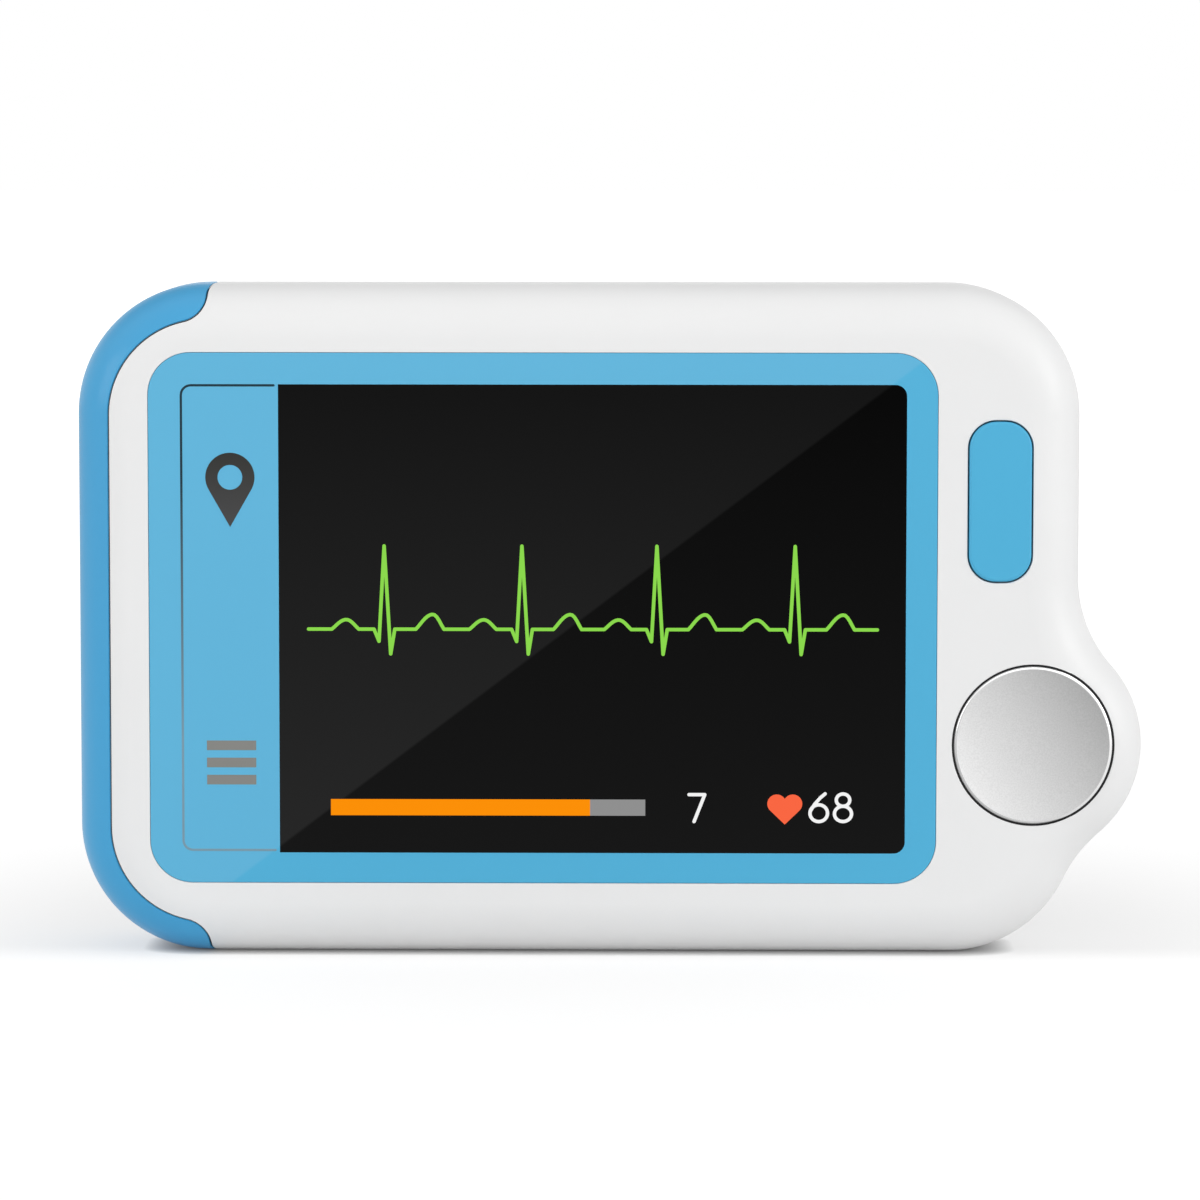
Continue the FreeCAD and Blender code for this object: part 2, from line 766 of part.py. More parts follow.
def touch_key_film():
    """The film lies behind the window, and its tail runs past the display to the back of the board."""
    film = box((key_film_left, key_film_y, key_film_bottom),
               (key_film_left + key_film_width, key_film_y + key_film_thickness,
                key_film_bottom + key_film_height))
    route = [(key_film_left + key_tail_bend, key_tail_y), (key_tail_x, key_tail_y),
             (key_tail_x, key_socket_y), (board_left + socket_setback, key_socket_y)]
    tail = strip(route, [key_tail_bend, key_tail_bend], key_film_thickness,
                 key_tail_z - key_tail_width / 2, key_tail_z + key_tail_width / 2)
    return fuse(film, tail)


def touch_connector():
    x0 = board_left + socket_setback
    half = key_tail_width / 2 + socket_cheek
    return box((x0, board_back_y, key_tail_z - half),
               (x0 + key_socket_width, board_back_y + key_socket_height, key_tail_z + half))


def lcd_gasket():
    return screen_block(opening_margin + gasket_width, wall_front_y, module_front_y).cut(
        screen_block(opening_margin, wall_front_y, module_front_y))


def lcd_frame():
    tray = module_block(0, module_front_y, module_back_y)
    notch_half = flex_width / 2 + rib_gap
    notch = box((module_left - beyond, module_front_y, screen_middle_z - notch_half),
                (module_left + frame_wall + cell_clearance, ledge_y, screen_middle_z + notch_half))
    return tray.cut([module_block(frame_wall, module_front_y, module_back_y - frame_floor), notch])


def light_guide():
    back = module_back_y - frame_floor
    return module_block(frame_wall + cell_clearance, back - light_guide_thickness, back)


def lcd_glass():
    """Two glasses: the back one is longer and leaves a ledge for the driver chip and the ribbon."""
    back = module_block(frame_wall + cell_clearance, ledge_y, ledge_y + cell_back_thickness)
    front = screen_block(cell_front_border, module_front_y, ledge_y)
    return fuse(back, front)


def lcd_driver_chip():
    x1 = screen_left - cell_front_border - driver_gap
    return box((x1 - driver_width, ledge_y - driver_thickness, screen_middle_z - driver_length / 2),
               (x1, ledge_y, screen_middle_z + driver_length / 2))


def lcd_flex():
    """The ribbon leaves the ledge, turns round the board's edge and ends in its socket."""
    start_y = ledge_y - flex_thickness / 2
    turn = (flex_socket_y - start_y) / 2
    turn_x = module_left - flex_reach
    route = [(module_left + frame_wall + flex_bond, start_y), (turn_x - turn, start_y),
             (turn_x - turn, flex_socket_y), (board_left + socket_setback, flex_socket_y)]
    return strip(route, [turn - flex_flat, turn - flex_flat], flex_thickness,
                 screen_middle_z - flex_width / 2, screen_middle_z + flex_width / 2)


def flex_connector():
    x0 = board_left + socket_setback
    half = flex_width / 2 + socket_cheek
    return box((x0, board_back_y, screen_middle_z - half),
               (x0 + flex_socket_width, board_back_y + flex_socket_height, screen_middle_z + half))


def display_tape():
    return module_block(display_tape_margin, module_back_y, board_front_y)


# ---------------------------------------------------------------- board and what is on it
def main_board():
    """The board follows the case all round, short of the bumper's wall and clear of the bosses."""
    board = prism(case_outline(side_wall + board_gap), board_front_y, board_back_y)
    cuts = [bumper_zone(seam_gap + side_wall + board_gap),
            box((left_x - beyond, front_y, -beyond), (board_left, back_y, body_height + beyond))]
    for x, z in right_bosses:
        cuts.append(rod(x, z, spigot_radius + board_hole_clearance, board_front_y, board_back_y))
    for x, z in board_bosses:
        cuts.append(rod(x, z, board_screw_radius + board_hole_clearance, board_front_y, board_back_y))
    return board.cut(cuts)


def board_chips():
    """Square packages on the back of the board: processor, amplifier, memory and charger."""
    places = [(processor_x, processor_z, processor_side),
              (right_x - amplifier_inset, amplifier_z, amplifier_side),
              (memory_place[0], body_height - memory_place[1], memory_side),
              (charger_place[0], charger_place[1], charger_side)]
    chips = []
    for x, z, side in places:
        chips.append(box((x - side / 2, board_back_y, z - side / 2),
                         (x + side / 2, board_back_y + chip_height, z + side / 2)))
    return Part.makeCompound(chips)


def radio_shield():
    """A thin can, open towards the board."""
    x0, z0 = shield_x - shield_length / 2, shield_z - shield_width / 2
    can = box((x0, board_back_y, z0), (x0 + shield_length, board_back_y + shield_height, z0 + shield_width))
    inside = box((x0 + shield_wall, board_back_y, z0 + shield_wall),
                 (x0 + shield_length - shield_wall, board_back_y + shield_height - shield_wall,
                  z0 + shield_width - shield_wall))
    return can.cut(inside)


def board_screws():
    screws = []
    for x, z in board_bosses:
        head = rod(x, z, board_screw_head_radius, board_back_y, board_back_y + board_screw_head_height)
        screws.append(fuse(head, rod(x, z, board_screw_radius, board_screw_tip_y, board_back_y)))
    return Part.makeCompound(screws)


def usb_socket():
    """A metal shell with a tongue inside, soldered to the back of the board."""
    z0, z1 = usb_inset, usb_inset + usb_depth
    y0, y1 = board_back_y, board_back_y + usb_height
    shell = box((usb_x - usb_width / 2, y0, z0), (usb_x + usb_width / 2, y1, z1))
    mouth = box((usb_x - usb_width / 2 + usb_wall, y0 + usb_wall, z0 - beyond),
                (usb_x + usb_width / 2 - usb_wall, y1 - usb_wall, z1 - usb_floor))
    lower = [e for e in mouth.Edges if abs(e.tangentAt(e.FirstParameter).z) > 0.9
             and e.CenterOfMass.y > (y0 + y1) / 2]
    mouth = mouth.makeChamfer(usb_key, lower)
    middle = (y0 + y1) / 2
    tongue = box((usb_x - usb_tongue_width / 2, middle - usb_tongue_thickness / 2, z0 + usb_floor),
                 (usb_x + usb_tongue_width / 2, middle + usb_tongue_thickness / 2, z1))
    return fuse(shell.cut(mouth), tongue)


def buzzer():
    """A round sounder with a small hole in its face."""
    top = wall_back_y - buzzer_shallow
    can = rod(buzzer_x, buzzer_z, buzzer_radius, board_back_y, top)
    return can.cut(rod(buzzer_x, buzzer_z, buzzer_hole_radius, top - buzzer_hole_depth, top))


# ---------------------------------------------------------------- button and switch
def measure_button():
    """A cap that fills the hole, with a flange behind the wall and a post on the switch."""
    face_y = front_y - button_proud
    cap = prism(button_outline(button_gap), face_y, flange_back_y)
    cap = cap.makeChamfer(button_edge, edges_at(cap, face_y))
    flange = prism(button_outline(-button_flange), wall_front_y + button_play, flange_back_y)
    post = rod(button_x, button_z, button_post_radius, flange_back_y, plunger_front_y)
    return fuse(cap, flange, post)


def switch_body():
    half = switch_width / 2
    block = box((button_x - half, switch_front_y, button_z - half),
                (button_x + half, board_front_y, button_z + half))
    bore_depth = plunger_seat + button_travel + plunger_clearance
    return block.cut(rod(button_x, button_z, plunger_radius + plunger_clearance, switch_front_y,
                         switch_front_y + bore_depth))


def switch_plunger():
    return rod(button_x, button_z, plunger_radius, plunger_front_y, switch_front_y + plunger_seat)


# ---------------------------------------------------------------- electrodes
def round_electrode(face_y, inward, wall_y):
    """A dished disc with a bevelled rim and a stem. inward is +1 for the front and -1 for the back."""
    rim, flat = electrode_radius, electrode_radius - electrode_bevel
    stem_end = abs(wall_y - face_y) + stem_proud
    corners = [(0, electrode_dish), (electrode_dish_radius, electrode_dish), (flat, 0),
               (rim, electrode_bevel), (rim, electrode_thickness), (stem_radius, electrode_thickness),
               (stem_radius, stem_end), (0, stem_end), (0, electrode_dish)]
    profile = Part.makePolygon([V(x, y, 0) for x, y in corners])
    solid = Part.Face(profile).revolve(V(0, 0, 0), V(0, 1, 0), 360)
    if inward < 0:
        solid.rotate(V(0, 0, 0), V(1, 0, 0), 180)
    solid.translate(V(electrode_x, face_y, electrode_z))
    return solid


def front_electrode():
    return round_electrode(front_y + electrode_sink, 1, wall_front_y)


def rear_electrode():
    return round_electrode(back_y - electrode_sink, -1, wall_back_y)


def electrode_washers():
    washers = []
    for y0 in (wall_front_y, wall_back_y - washer_thickness):
        disc = rod(electrode_x, electrode_z, washer_radius, y0, y0 + washer_thickness)
        washers.append(disc.cut(rod(electrode_x, electrode_z, stem_radius, y0, y0 + washer_thickness)))
    return Part.makeCompound(washers)


def contact_pin(board_y, stem_y):
    """A sprung pin from a face of the board to the end of a stem."""
    outwards = math.copysign(1, stem_y - board_y)
    joint = stem_y - outwards * pin_tip_length
    barrel = rod(electrode_x, electrode_z, pin_barrel_radius, *sorted((board_y, joint)))
    tip = rod(electrode_x, electrode_z, pin_tip_radius, *sorted((joint, stem_y)))
    return fuse(barrel, tip)


def front_contact_pin():
    return contact_pin(board_front_y, wall_front_y + stem_proud)


def rear_contact_pin():
    return contact_pin(board_back_y, wall_back_y - stem_proud)


def plate_blank(width, length, depth):
    """A stadium-shaped plate in the bumper's outer side."""
    outline = rounded_rectangle(-width / 2, -length / 2, width, length, width / 2 - plate_flat)
    plate = prism(outline, -beyond, depth)
    plate.rotate(V(0, 0, 0), V(0, 0, 1), -90)
    plate.translate(V(left_x, parting_y, middle_z))
    return plate


def left_electrode():
    """A long plate, flush with the bumper, with a stem to the contact inside the case."""
    outside = box((left_x - 2 * beyond, front_y, -beyond),
                  (left_x + plate_sink, back_y, body_height + beyond))
    plate = plate_blank(plate_width, plate_length, plate_thickness + plate_sink).cut(outside)
    start = left_x + plate_sink + plate_thickness / 2
    stem = Part.makeCylinder(stem_radius, inner_left_x + stem_proud - start,
                             V(start, parting_y, plate_stem_z), V(1, 0, 0))
    return fuse(plate, stem)


def left_contact_leaf():
    """A leaf spring from the back of the board to the end of the left electrode's stem."""
    leaf_x = inner_left_x + stem_proud + leaf_thickness / 2
    leaf_y = board_back_y + leaf_thickness / 2
    route = [(board_left + leaf_foot, leaf_y), (leaf_x, leaf_y), (leaf_x, parting_y + leaf_rise)]
    return strip(route, [leaf_bend], leaf_thickness, plate_stem_z - leaf_width / 2,
                 plate_stem_z + leaf_width / 2)


# ---------------------------------------------------------------- battery
def battery_cell():
    pouch = box((battery_left, battery_front_y, battery_bottom),
                (battery_right, battery_back_y, battery_bottom + battery_width))
    upright = [e for e in pouch.Edges if abs(e.tangentAt(e.FirstParameter).y) < 0.1
               and abs(e.tangentAt(e.FirstParameter).x) < 0.1]
    return pouch.makeFillet(battery_round, upright)


def battery_pad():
    return box((battery_left + battery_pad_margin, battery_back_y, battery_bottom + battery_pad_margin),
               (battery_right - battery_pad_margin, wall_back_y,
                battery_bottom + battery_width - battery_pad_margin))


def battery_connector():
    x0 = battery_right + lead_reach
    half = lead_socket_width / 2
    return box((x0, board_back_y, lead_z - half),
               (x0 + lead_socket_length, board_back_y + lead_socket_height, lead_z + half))


def battery_leads():
    """Two flat leads that step down from the end of the battery into their socket."""
    high_y = (battery_front_y + battery_back_y) / 2
    low_y = board_back_y + lead_socket_height / 2
    middle_x = battery_right + lead_reach / 2
    bend = lead_reach / 2 - lead_straight
    route = [(battery_right, high_y), (middle_x, high_y), (middle_x, low_y),
             (battery_right + lead_reach, low_y)]
    leads = []
    for z in (lead_z - lead_spacing / 2, lead_z + lead_spacing / 2):
        leads.append(strip(route, [bend, bend], lead_thickness, z - lead_width / 2, z + lead_width / 2))
    return Part.makeCompound(leads)


# ---------------------------------------------------------------- write one file for each node
NODES = [front_shell, rear_shell, end_cap, case_screws,
         display_window, window_adhesive, touch_key_film, touch_connector,
         lcd_gasket, lcd_frame, light_guide, lcd_glass, lcd_driver_chip, lcd_flex, flex_connector,
         display_tape,
         main_board, board_chips, radio_shield, board_screws, usb_socket, buzzer,
         measure_button, switch_body, switch_plunger,
         front_electrode, rear_electrode, electrode_washers, front_contact_pin, rear_contact_pin,
         left_electrode, left_contact_leaf,
         battery_cell, battery_pad, battery_connector, battery_leads]

os.makedirs("parts", exist_ok=True)
for make in NODES:
    shape = make()
    shape.exportStep(f"parts/{make.__name__}.step")
    print(f"{make.__name__:20s} {len(shape.Solids)} solids {shape.Volume:10.2f} mm3  valid {shape.isValid()}")
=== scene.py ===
# %% [markdown]
# # ECG home monitor
# A hand-held heart monitor: a white moulded case with a soft blue bumper round one end, a blue-bordered
# screen window, one long button and round steel electrodes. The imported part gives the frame: every piece
# below is drawn in the same axes, X to the right, Y from the screen to the back and Z up.

# %% Load the frame
import bpy
import bmesh
import math
from mathutils import Matrix, Vector


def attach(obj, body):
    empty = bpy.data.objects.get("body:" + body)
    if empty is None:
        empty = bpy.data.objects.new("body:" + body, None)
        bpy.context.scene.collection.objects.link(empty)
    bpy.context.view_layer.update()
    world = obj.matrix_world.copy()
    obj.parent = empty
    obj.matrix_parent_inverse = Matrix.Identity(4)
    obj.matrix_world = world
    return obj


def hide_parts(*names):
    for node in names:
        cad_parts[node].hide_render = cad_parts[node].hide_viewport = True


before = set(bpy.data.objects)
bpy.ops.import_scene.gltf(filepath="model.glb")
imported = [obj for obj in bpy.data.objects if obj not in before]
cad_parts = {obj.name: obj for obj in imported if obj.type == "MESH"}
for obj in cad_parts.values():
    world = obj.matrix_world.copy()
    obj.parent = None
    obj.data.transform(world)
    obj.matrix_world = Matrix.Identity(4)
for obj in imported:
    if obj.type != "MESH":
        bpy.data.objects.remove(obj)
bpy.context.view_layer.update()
MM = 0.001

# %% [markdown]
# ## Sizes
# The moulded pieces are drawn again with fine steps, from the part's own sizes in millimetres, so each one
# lies on the node it stands for. A place is (x, z). A rectangle is x, z, width, height and corner radius.

# %% Sizes of the case
LEFT, RIGHT, HEIGHT = -49.23, 43.29, 62.0
FRONT, BACK, PARTING = -7.15, 7.35, 0.5
CORNER, FRONT_ROUND, BACK_ROUND = 12.0, 5.0, 4.2
GRIP, GRIP_RADIUS, UPPER_BLEND, LOWER_BLEND = (38.33, 19.4), 10.895, 12.5, 13.0
WIDTH = GRIP[0] + GRIP_RADIUS - LEFT
WALL, FRONT_WALL = 1.7, 2.0
WINDOW = (-42.4, 6.9, 72.4, 48.9, 3.9)
SCREEN = (-30.45, 9.7, 57.6, 43.2)
BUTTON, BUTTON_HOLE = (35.75, 42.2), (6.02, 14.97, 2.6)
ELECTRODE = (38.9, 19.75)
SCREWS = [(LEFT + 7.7, 9.6), (LEFT + 7.7, HEIGHT - 9.6), (RIGHT - 7.65, 8.6), (RIGHT - 7.65, HEIGHT - 8.6)]
print("case", round(WIDTH, 2), "x", round(BACK - FRONT, 2), "x", HEIGHT, "mm")

# %% [markdown]
# ## Sections and lofts
# A section is a closed line in the XZ plane whose points carry their outward direction. Moving each point
# along its direction gives the same line drawn in or out, exactly, for lines and arcs that touch smoothly.
# A loft joins such copies at several depths.

# %% Arcs and sections
def arc(cx, cz, radius, start, end, hollow=False, step=3.0):
    """Points of an arc, each with its outward direction."""
    count = max(2, math.ceil(abs(end - start) / step))
    side = -1 if hollow else 1
    points = []
    for i in range(count + 1):
        a = math.radians(start + (end - start) * i / count)
        ux, uz = math.cos(a), math.sin(a)
        points.append((cx + radius * ux, cz + radius * uz, side * ux, side * uz))
    return points


def plain_line(section):
    """The section's points without their directions."""
    return [(x, z) for x, z, _, _ in section]


def rounded(x, z, width, height, radius, step=6.0):
    """A rectangle with round corners, from its lower left corner."""
    x0, x1, z0, z1 = x + radius, x + width - radius, z + radius, z + height - radius
    return [point for turn, (cx, cz) in enumerate(((x1, z1), (x0, z1), (x0, z0), (x1, z0)))
            for point in arc(cx, cz, radius, 90 * turn, 90 * turn + 90, step=step)]


def circle(x, z, radius, count=96):
    return arc(x, z, radius, 0, 360 - 360 / count, step=360 / count)


# %% The case seen from the front
def bearing(start, end):
    return math.degrees(math.atan2(end[1] - start[1], end[0] - start[0]))


def case_section():
    """Three round corners, and the grip with a hollow blend above and below it."""
    right, low, high = RIGHT - CORNER, CORNER, HEIGHT - CORNER
    upper_x = RIGHT + UPPER_BLEND
    upper = (upper_x, GRIP[1] + math.sqrt((UPPER_BLEND + GRIP_RADIUS) ** 2 - (upper_x - GRIP[0]) ** 2))
    span = math.dist(GRIP, (right, low))
    along = ((GRIP_RADIUS + LOWER_BLEND) ** 2 - (CORNER + LOWER_BLEND) ** 2 + span ** 2) / (2 * span)
    across = math.sqrt((GRIP_RADIUS + LOWER_BLEND) ** 2 - along ** 2)
    ux, uz = (right - GRIP[0]) / span, (low - GRIP[1]) / span
    lower = (GRIP[0] + ux * along - uz * across, GRIP[1] + uz * along + ux * across)
    return (arc(right, high, CORNER, 0, 90) + arc(LEFT + CORNER, high, CORNER, 90, 180)
            + arc(LEFT + CORNER, low, CORNER, 180, 270)
            + arc(right, low, CORNER, 270, 360 + bearing((right, low), lower))
            + arc(*lower, LOWER_BLEND, bearing(lower, (right, low)), bearing(lower, GRIP), hollow=True)[1:]
            + arc(*GRIP, GRIP_RADIUS, bearing(GRIP, lower), bearing(GRIP, upper))[1:]
            + arc(*upper, UPPER_BLEND, 360 + bearing(upper, GRIP), 180, hollow=True)[1:])


CASE = case_section()
print("case line", len(CASE), "points, furthest right", round(max(p[0] for p in CASE), 2))

# %% Objects and their meshes
def in_scene(name, data):
    """A new object in the scene."""
    thing = bpy.data.objects.new(name, data)
    bpy.context.scene.collection.objects.link(thing)
    return thing


def outward(mesh, merge=1e-5):
    """Joins points that meet and turns every face to the outside."""
    bm = bmesh.new()
    bm.from_mesh(mesh)
    bmesh.ops.remove_doubles(bm, verts=bm.verts, dist=merge)
    bmesh.ops.recalc_face_normals(bm, faces=bm.faces)
    bm.to_mesh(mesh)
    bm.free()


def mesh_of(thing):
    """What an object shows now, as a mesh of its own."""
    bpy.context.view_layer.update()
    return bpy.data.meshes.new_from_object(thing.evaluated_get(bpy.context.evaluated_depsgraph_get()))


def settle(thing):
    """Turns an object's modifiers into plain mesh."""
    mesh = mesh_of(thing)
    thing.modifiers.clear()
    thing.data = mesh


# %% Loft, prism, closed bar and cut
def solid(name, points, faces):
    """A mesh object in millimetres with all its faces pointing out."""
    mesh = bpy.data.meshes.new(name)
    mesh.from_pydata(points, [], faces)
    outward(mesh)
    return in_scene(name, mesh)


def loft(name, section, levels):
    """Copies of a section, each drawn in by an inset at a depth, joined and closed at both ends."""
    count = len(section)
    points, faces = [], []
    for inset, y in levels:
        points += [(x - inset * nx, y, z - inset * nz) for x, z, nx, nz in section]
    for level in range(len(levels) - 1):
        a, b = level * count, (level + 1) * count
        faces += [(a + i, a + (i + 1) % count, b + (i + 1) % count, b + i) for i in range(count)]
    faces.append(tuple(range(count)))
    faces.append(tuple(range((len(levels) - 1) * count, len(levels) * count)))
    return solid(name, points, faces)


def prism(name, section, start, end):
    """A section carried straight between two depths."""
    return loft(name, section, [(0, start), (0, end)])


def closed_bar(name, stations):
    """A bar whose end meets its start. Each station is its outline, a little further on."""
    size, faces = len(stations[0]), []
    for i in range(len(stations)):
        a, b = size * i, size * ((i + 1) % len(stations))
        faces += [(a + k, a + (k + 1) % size, b + (k + 1) % size, b + k) for k in range(size)]
    return solid(name, [point for station in stations for point in station], faces)


def combine(target, tool, operation="DIFFERENCE"):
    """Cuts, joins or intersects a solid with another one, which is used up."""
    change = target.modifiers.new("change", "BOOLEAN")
    change.operation, change.solver, change.object = operation, "EXACT", tool
    settle(target)
    bpy.data.objects.remove(tool)
    return target


def quarter(radius, y, direction, steps=18, start_inset=0.0):
    """Levels of a quarter round that starts on the side wall and ends on a face."""
    angles = [math.radians(90 * i / steps) for i in range(steps + 1)]
    return [(start_inset + radius * (1 - math.cos(a)), y + direction * radius * math.sin(a)) for a in angles]


# %% [markdown]
# ## Finishing a piece
# Every moulded piece is shaded smooth with hard edges where its faces turn sharply, and its normals are
# weighted by area, so that the large flat faces stay flat next to their roundings. It is then brought from
# millimetres to metres and rides on a body of the frame.

# %% Finish and ride
def finish(piece, material, body="case", replaces=(), angle=32):
    for polygon in piece.data.polygons:
        polygon.use_smooth, polygon.material_index = True, 0
    piece.data.set_sharp_from_angle(angle=math.radians(angle))
    piece.data.transform(Matrix.Scale(MM, 4))
    piece.modifiers.new("normals", "WEIGHTED_NORMAL").keep_sharp = True
    settle(piece)
    piece.data.materials.clear()
    piece.data.materials.append(material)
    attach(piece, body)
    if replaces:
        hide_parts(*replaces)
    print(piece.name, len(piece.data.polygons), "faces")


# %% [markdown]
# ## Nodes
# One function adds a node to any tree. Its kind is Blender's own name without the ShaderNode, GeometryNode
# or Node in front. A name with a capital is an input, which is set or linked, and i1 is the second input, for
# nodes whose inputs share a name. A name in small letters is a setting. A node given as a value stands for
# its first output in use, and a list goes to one input that takes many. Colours are written as on a screen
# and turned to the linear values that light needs.

# %% Node and colour helpers
def add(tree, kind, **values):
    family = next(word for word in ("ShaderNode", "GeometryNode", "Node") if hasattr(bpy.types, word + kind))
    node = tree.nodes.new(family + kind)
    for key, value in values.items():
        numbered = key[0] == "i" and key[1:].isdigit()
        if key[0].islower() and not numbered:
            setattr(node, key, value)
            continue
        socket = node.inputs[int(key[1:]) if numbered else key.replace("_", " ")]
        for one in value if isinstance(value, list) else [value]:
            if isinstance(one, bpy.types.Node):
                one = next(output for output in one.outputs if output.enabled)
            if isinstance(one, bpy.types.NodeSocket):
                tree.links.new(one, socket)
            else:
                socket.default_value = one
    return node


def colour(code, scale=1.0):
    """A screen colour such as "#58B1D8" as linear RGBA."""
    parts = [int(code[i:i + 2], 16) / 255 for i in (1, 3, 5)]
    linear = [p / 12.92 if p <= 0.04045 else ((p + 0.055) / 1.055) ** 2.4 for p in parts]
    return tuple(p * scale for p in linear) + (1.0,)


def new_material(name):
    """A material, its empty tree, and the place on the piece."""
    material = bpy.data.materials.new(name)
    material.use_nodes = True
    tree = material.node_tree
    tree.nodes.clear()
    return material, tree, add(tree, "TexCoord").outputs["Object"]


# %% [markdown]
# ## Moulded plastic
# A moulded surface copies the steel of its mould, which is spark-eroded to a fine matt grain. The grain is a
# tenth of a millimetre, which the eye sees as softness more than as dots. A slow change of tone and of
# roughness keeps a large face from looking like paper. The bumper has a thin satin coat over its soft
# colour, which shows as a pale sheen along its rounded edges.

# %% A moulded finish
SATIN = 0.2                             # roughness of the coat


def moulded(name, code, roughness, grain=0.12, relief=0.004, tone=0.02, specular=0.5, coat=0.0):
    """Moulded plastic or rubber. grain is the width of its dots and relief their height."""
    material, tree, place = new_material(name)
    slow = add(tree, "TexNoise", Vector=place, Scale=1 / (16 * MM), Detail=2.0)
    fine = add(tree, "TexNoise", Vector=place, Scale=1 / (grain * MM), Detail=1.0)
    tint = add(tree, "Mix", data_type="RGBA", i0=slow, i6=colour(code, 1 - tone), i7=colour(code, 1 + tone))
    rough = add(tree, "MapRange", Value=slow, To_Min=roughness - 0.04, To_Max=roughness + 0.04)
    bump = add(tree, "Bump", Height=fine, Strength=0.6, Distance=relief * MM)
    surface = add(tree, "BsdfPrincipled", Base_Color=tint, Roughness=rough, Normal=bump, IOR=1.5,
                  Specular_IOR_Level=specular, Coat_Weight=coat, Coat_Roughness=SATIN)
    add(tree, "OutputMaterial", Surface=surface)
    return material


# Hard plastic looks even and a little shiny; the soft bumper looks deeper in colour and waxy.
white_abs = moulded("white_moulded_abs", "#EFEFEF", 0.42)
button_abs = moulded("blue_moulded_abs", "#50B3DC", 0.4, specular=0.25)
bumper_tpe = moulded("blue_soft_elastomer", "#43A5D8", 0.42, grain=0.15, relief=0.005, specular=0.2,
                     coat=0.3)
print("moulded finishes", white_abs.name, bumper_tpe.name, button_abs.name)

# %% [markdown]
# ## The seam of the bumper
# The bumper wraps the left end, and its seam follows the case 3 mm inside the outline, then turns out to the
# upper and lower edges in a small S. The seam is drawn once and used four times: to cut the shells and the
# bumper, to run a fine V groove along the joint, since moulded edges are never quite sharp, and to lay a
# dark line of painted shade in it.

# %% Line of the seam
BUMPER_END, SEAM_BEND = LEFT + 12.15, CORNER - 3.13
SEAM_TURN, SEAM_FLARE, SEAM_GAP = 2.6, 1.0, 0.02
BEYOND = 9.0                            # how far the cutter of a whole end reaches past the case


def seam_line(grow, step=4.0):
    """Points down the seam, moved into the case by an amount. Deep inside, its S is a plain corner."""
    high = HEIGHT - CORNER
    turn_x, corner_x = BUMPER_END - SEAM_TURN, LEFT + CORNER
    rise = math.sqrt((SEAM_BEND + SEAM_TURN) ** 2 - (corner_x - turn_x) ** 2)
    meet = math.degrees(math.atan2(rise, turn_x - corner_x))
    upper = arc(turn_x, high + rise, SEAM_TURN + grow, 360, 180 + meet, step=step)
    upper += arc(corner_x, high, SEAM_BEND - grow, meet, 180, step=step)[1:]
    if grow < SEAM_FLARE:
        upper = arc(BUMPER_END + SEAM_FLARE, high + rise, SEAM_FLARE - grow, 90, 180, step=step) + upper[1:]
    line = plain_line(upper)
    return line + [(x, HEIGHT - z) for x, z in reversed(line)]


def bumper_zone(grow, step=4.0):
    """Everything to the left of the seam."""
    line = seam_line(grow, step)
    line = ([(line[0][0], HEIGHT + BEYOND)] + line
            + [(line[-1][0], -BEYOND), (LEFT - BEYOND, -BEYOND), (LEFT - BEYOND, HEIGHT + BEYOND)])
    return prism("zone", [(x, z, 0, 0) for x, z in line], FRONT - BEYOND, BACK + BEYOND)


# %% Groove along the seam
def on_case(x, z, face):
    """The point of the outer surface over (x, z) near the left end, and its outward direction."""
    cx = LEFT + CORNER
    cz = min(max(z, CORNER), HEIGHT - CORNER)
    if x >= cx:
        depth, nx, nz = min(z, HEIGHT - z), 0.0, math.copysign(1, z - HEIGHT / 2)
    else:
        reach = math.hypot(x - cx, z - cz)
        depth, nx, nz = CORNER - reach, (x - cx) / reach, (z - cz) / reach
    radius, level = (FRONT_ROUND, FRONT) if face < 0 else (BACK_ROUND, BACK)
    flat = min(max(radius - depth, 0), radius) / radius
    rise = math.sqrt(1 - flat * flat)
    return Vector((x, level - face * radius * (1 - rise), z)), Vector((nx * flat, face * rise, nz * flat))


def even_steps(track, spacing):
    """Points and directions at even steps along a closed track."""
    lengths = [0.0]
    for (a, _), (b, _) in zip(track, track[1:]):
        lengths.append(lengths[-1] + (b - a).length)
    count = round(lengths[-1] / spacing)
    even, index = [], 0
    for i in range(count):
        goal = lengths[-1] * i / count
        while lengths[index + 1] < goal:
            index += 1
        t = (goal - lengths[index]) / max(lengths[index + 1] - lengths[index], 1e-9)
        (a, normal_a), (b, normal_b) = track[index], track[index + 1]
        even.append((a.lerp(b, t), normal_a.lerp(normal_b, t).normalized()))
    return even


def seam_bar(name="groove", half_width=0.12, depth=0.3, lift=0.12, spacing=0.3):
    """A V-shaped bar all the way round the joint: its tip lies at the depth and its top at the lift."""
    line = [(x, z) for x, z in seam_line(SEAM_GAP / 2, step=1.0) if 0.0 < z < HEIGHT]
    edge_x = line[0][0] + (line[0][0] - line[1][0]) * 0.5
    line = [(edge_x, HEIGHT - 1e-4)] + line + [(edge_x, 1e-4)]
    track = [on_case(x, z, -1) for x, z in line] + [on_case(x, z, 1) for x, z in reversed(line)]
    even = even_steps(track + track[:1], spacing)
    stations = []
    for i, (point, normal) in enumerate(even):
        along = even[(i + 1) % len(even)][0] - even[i - 1][0]
        wide = normal.cross(along).normalized() * half_width * (1 + lift / depth)
        stations.append([tuple(point + wide + normal * lift), tuple(point - wide + normal * lift),
                         tuple(point - normal * depth)])
    return closed_bar(name, stations)


# %% [markdown]
# ## Openings
# A cutter is a loft that opens out a little where it meets the face. The small slope that it leaves catches
# a line of light round the window, the button and the electrodes, as the broken edge of a real moulding does.

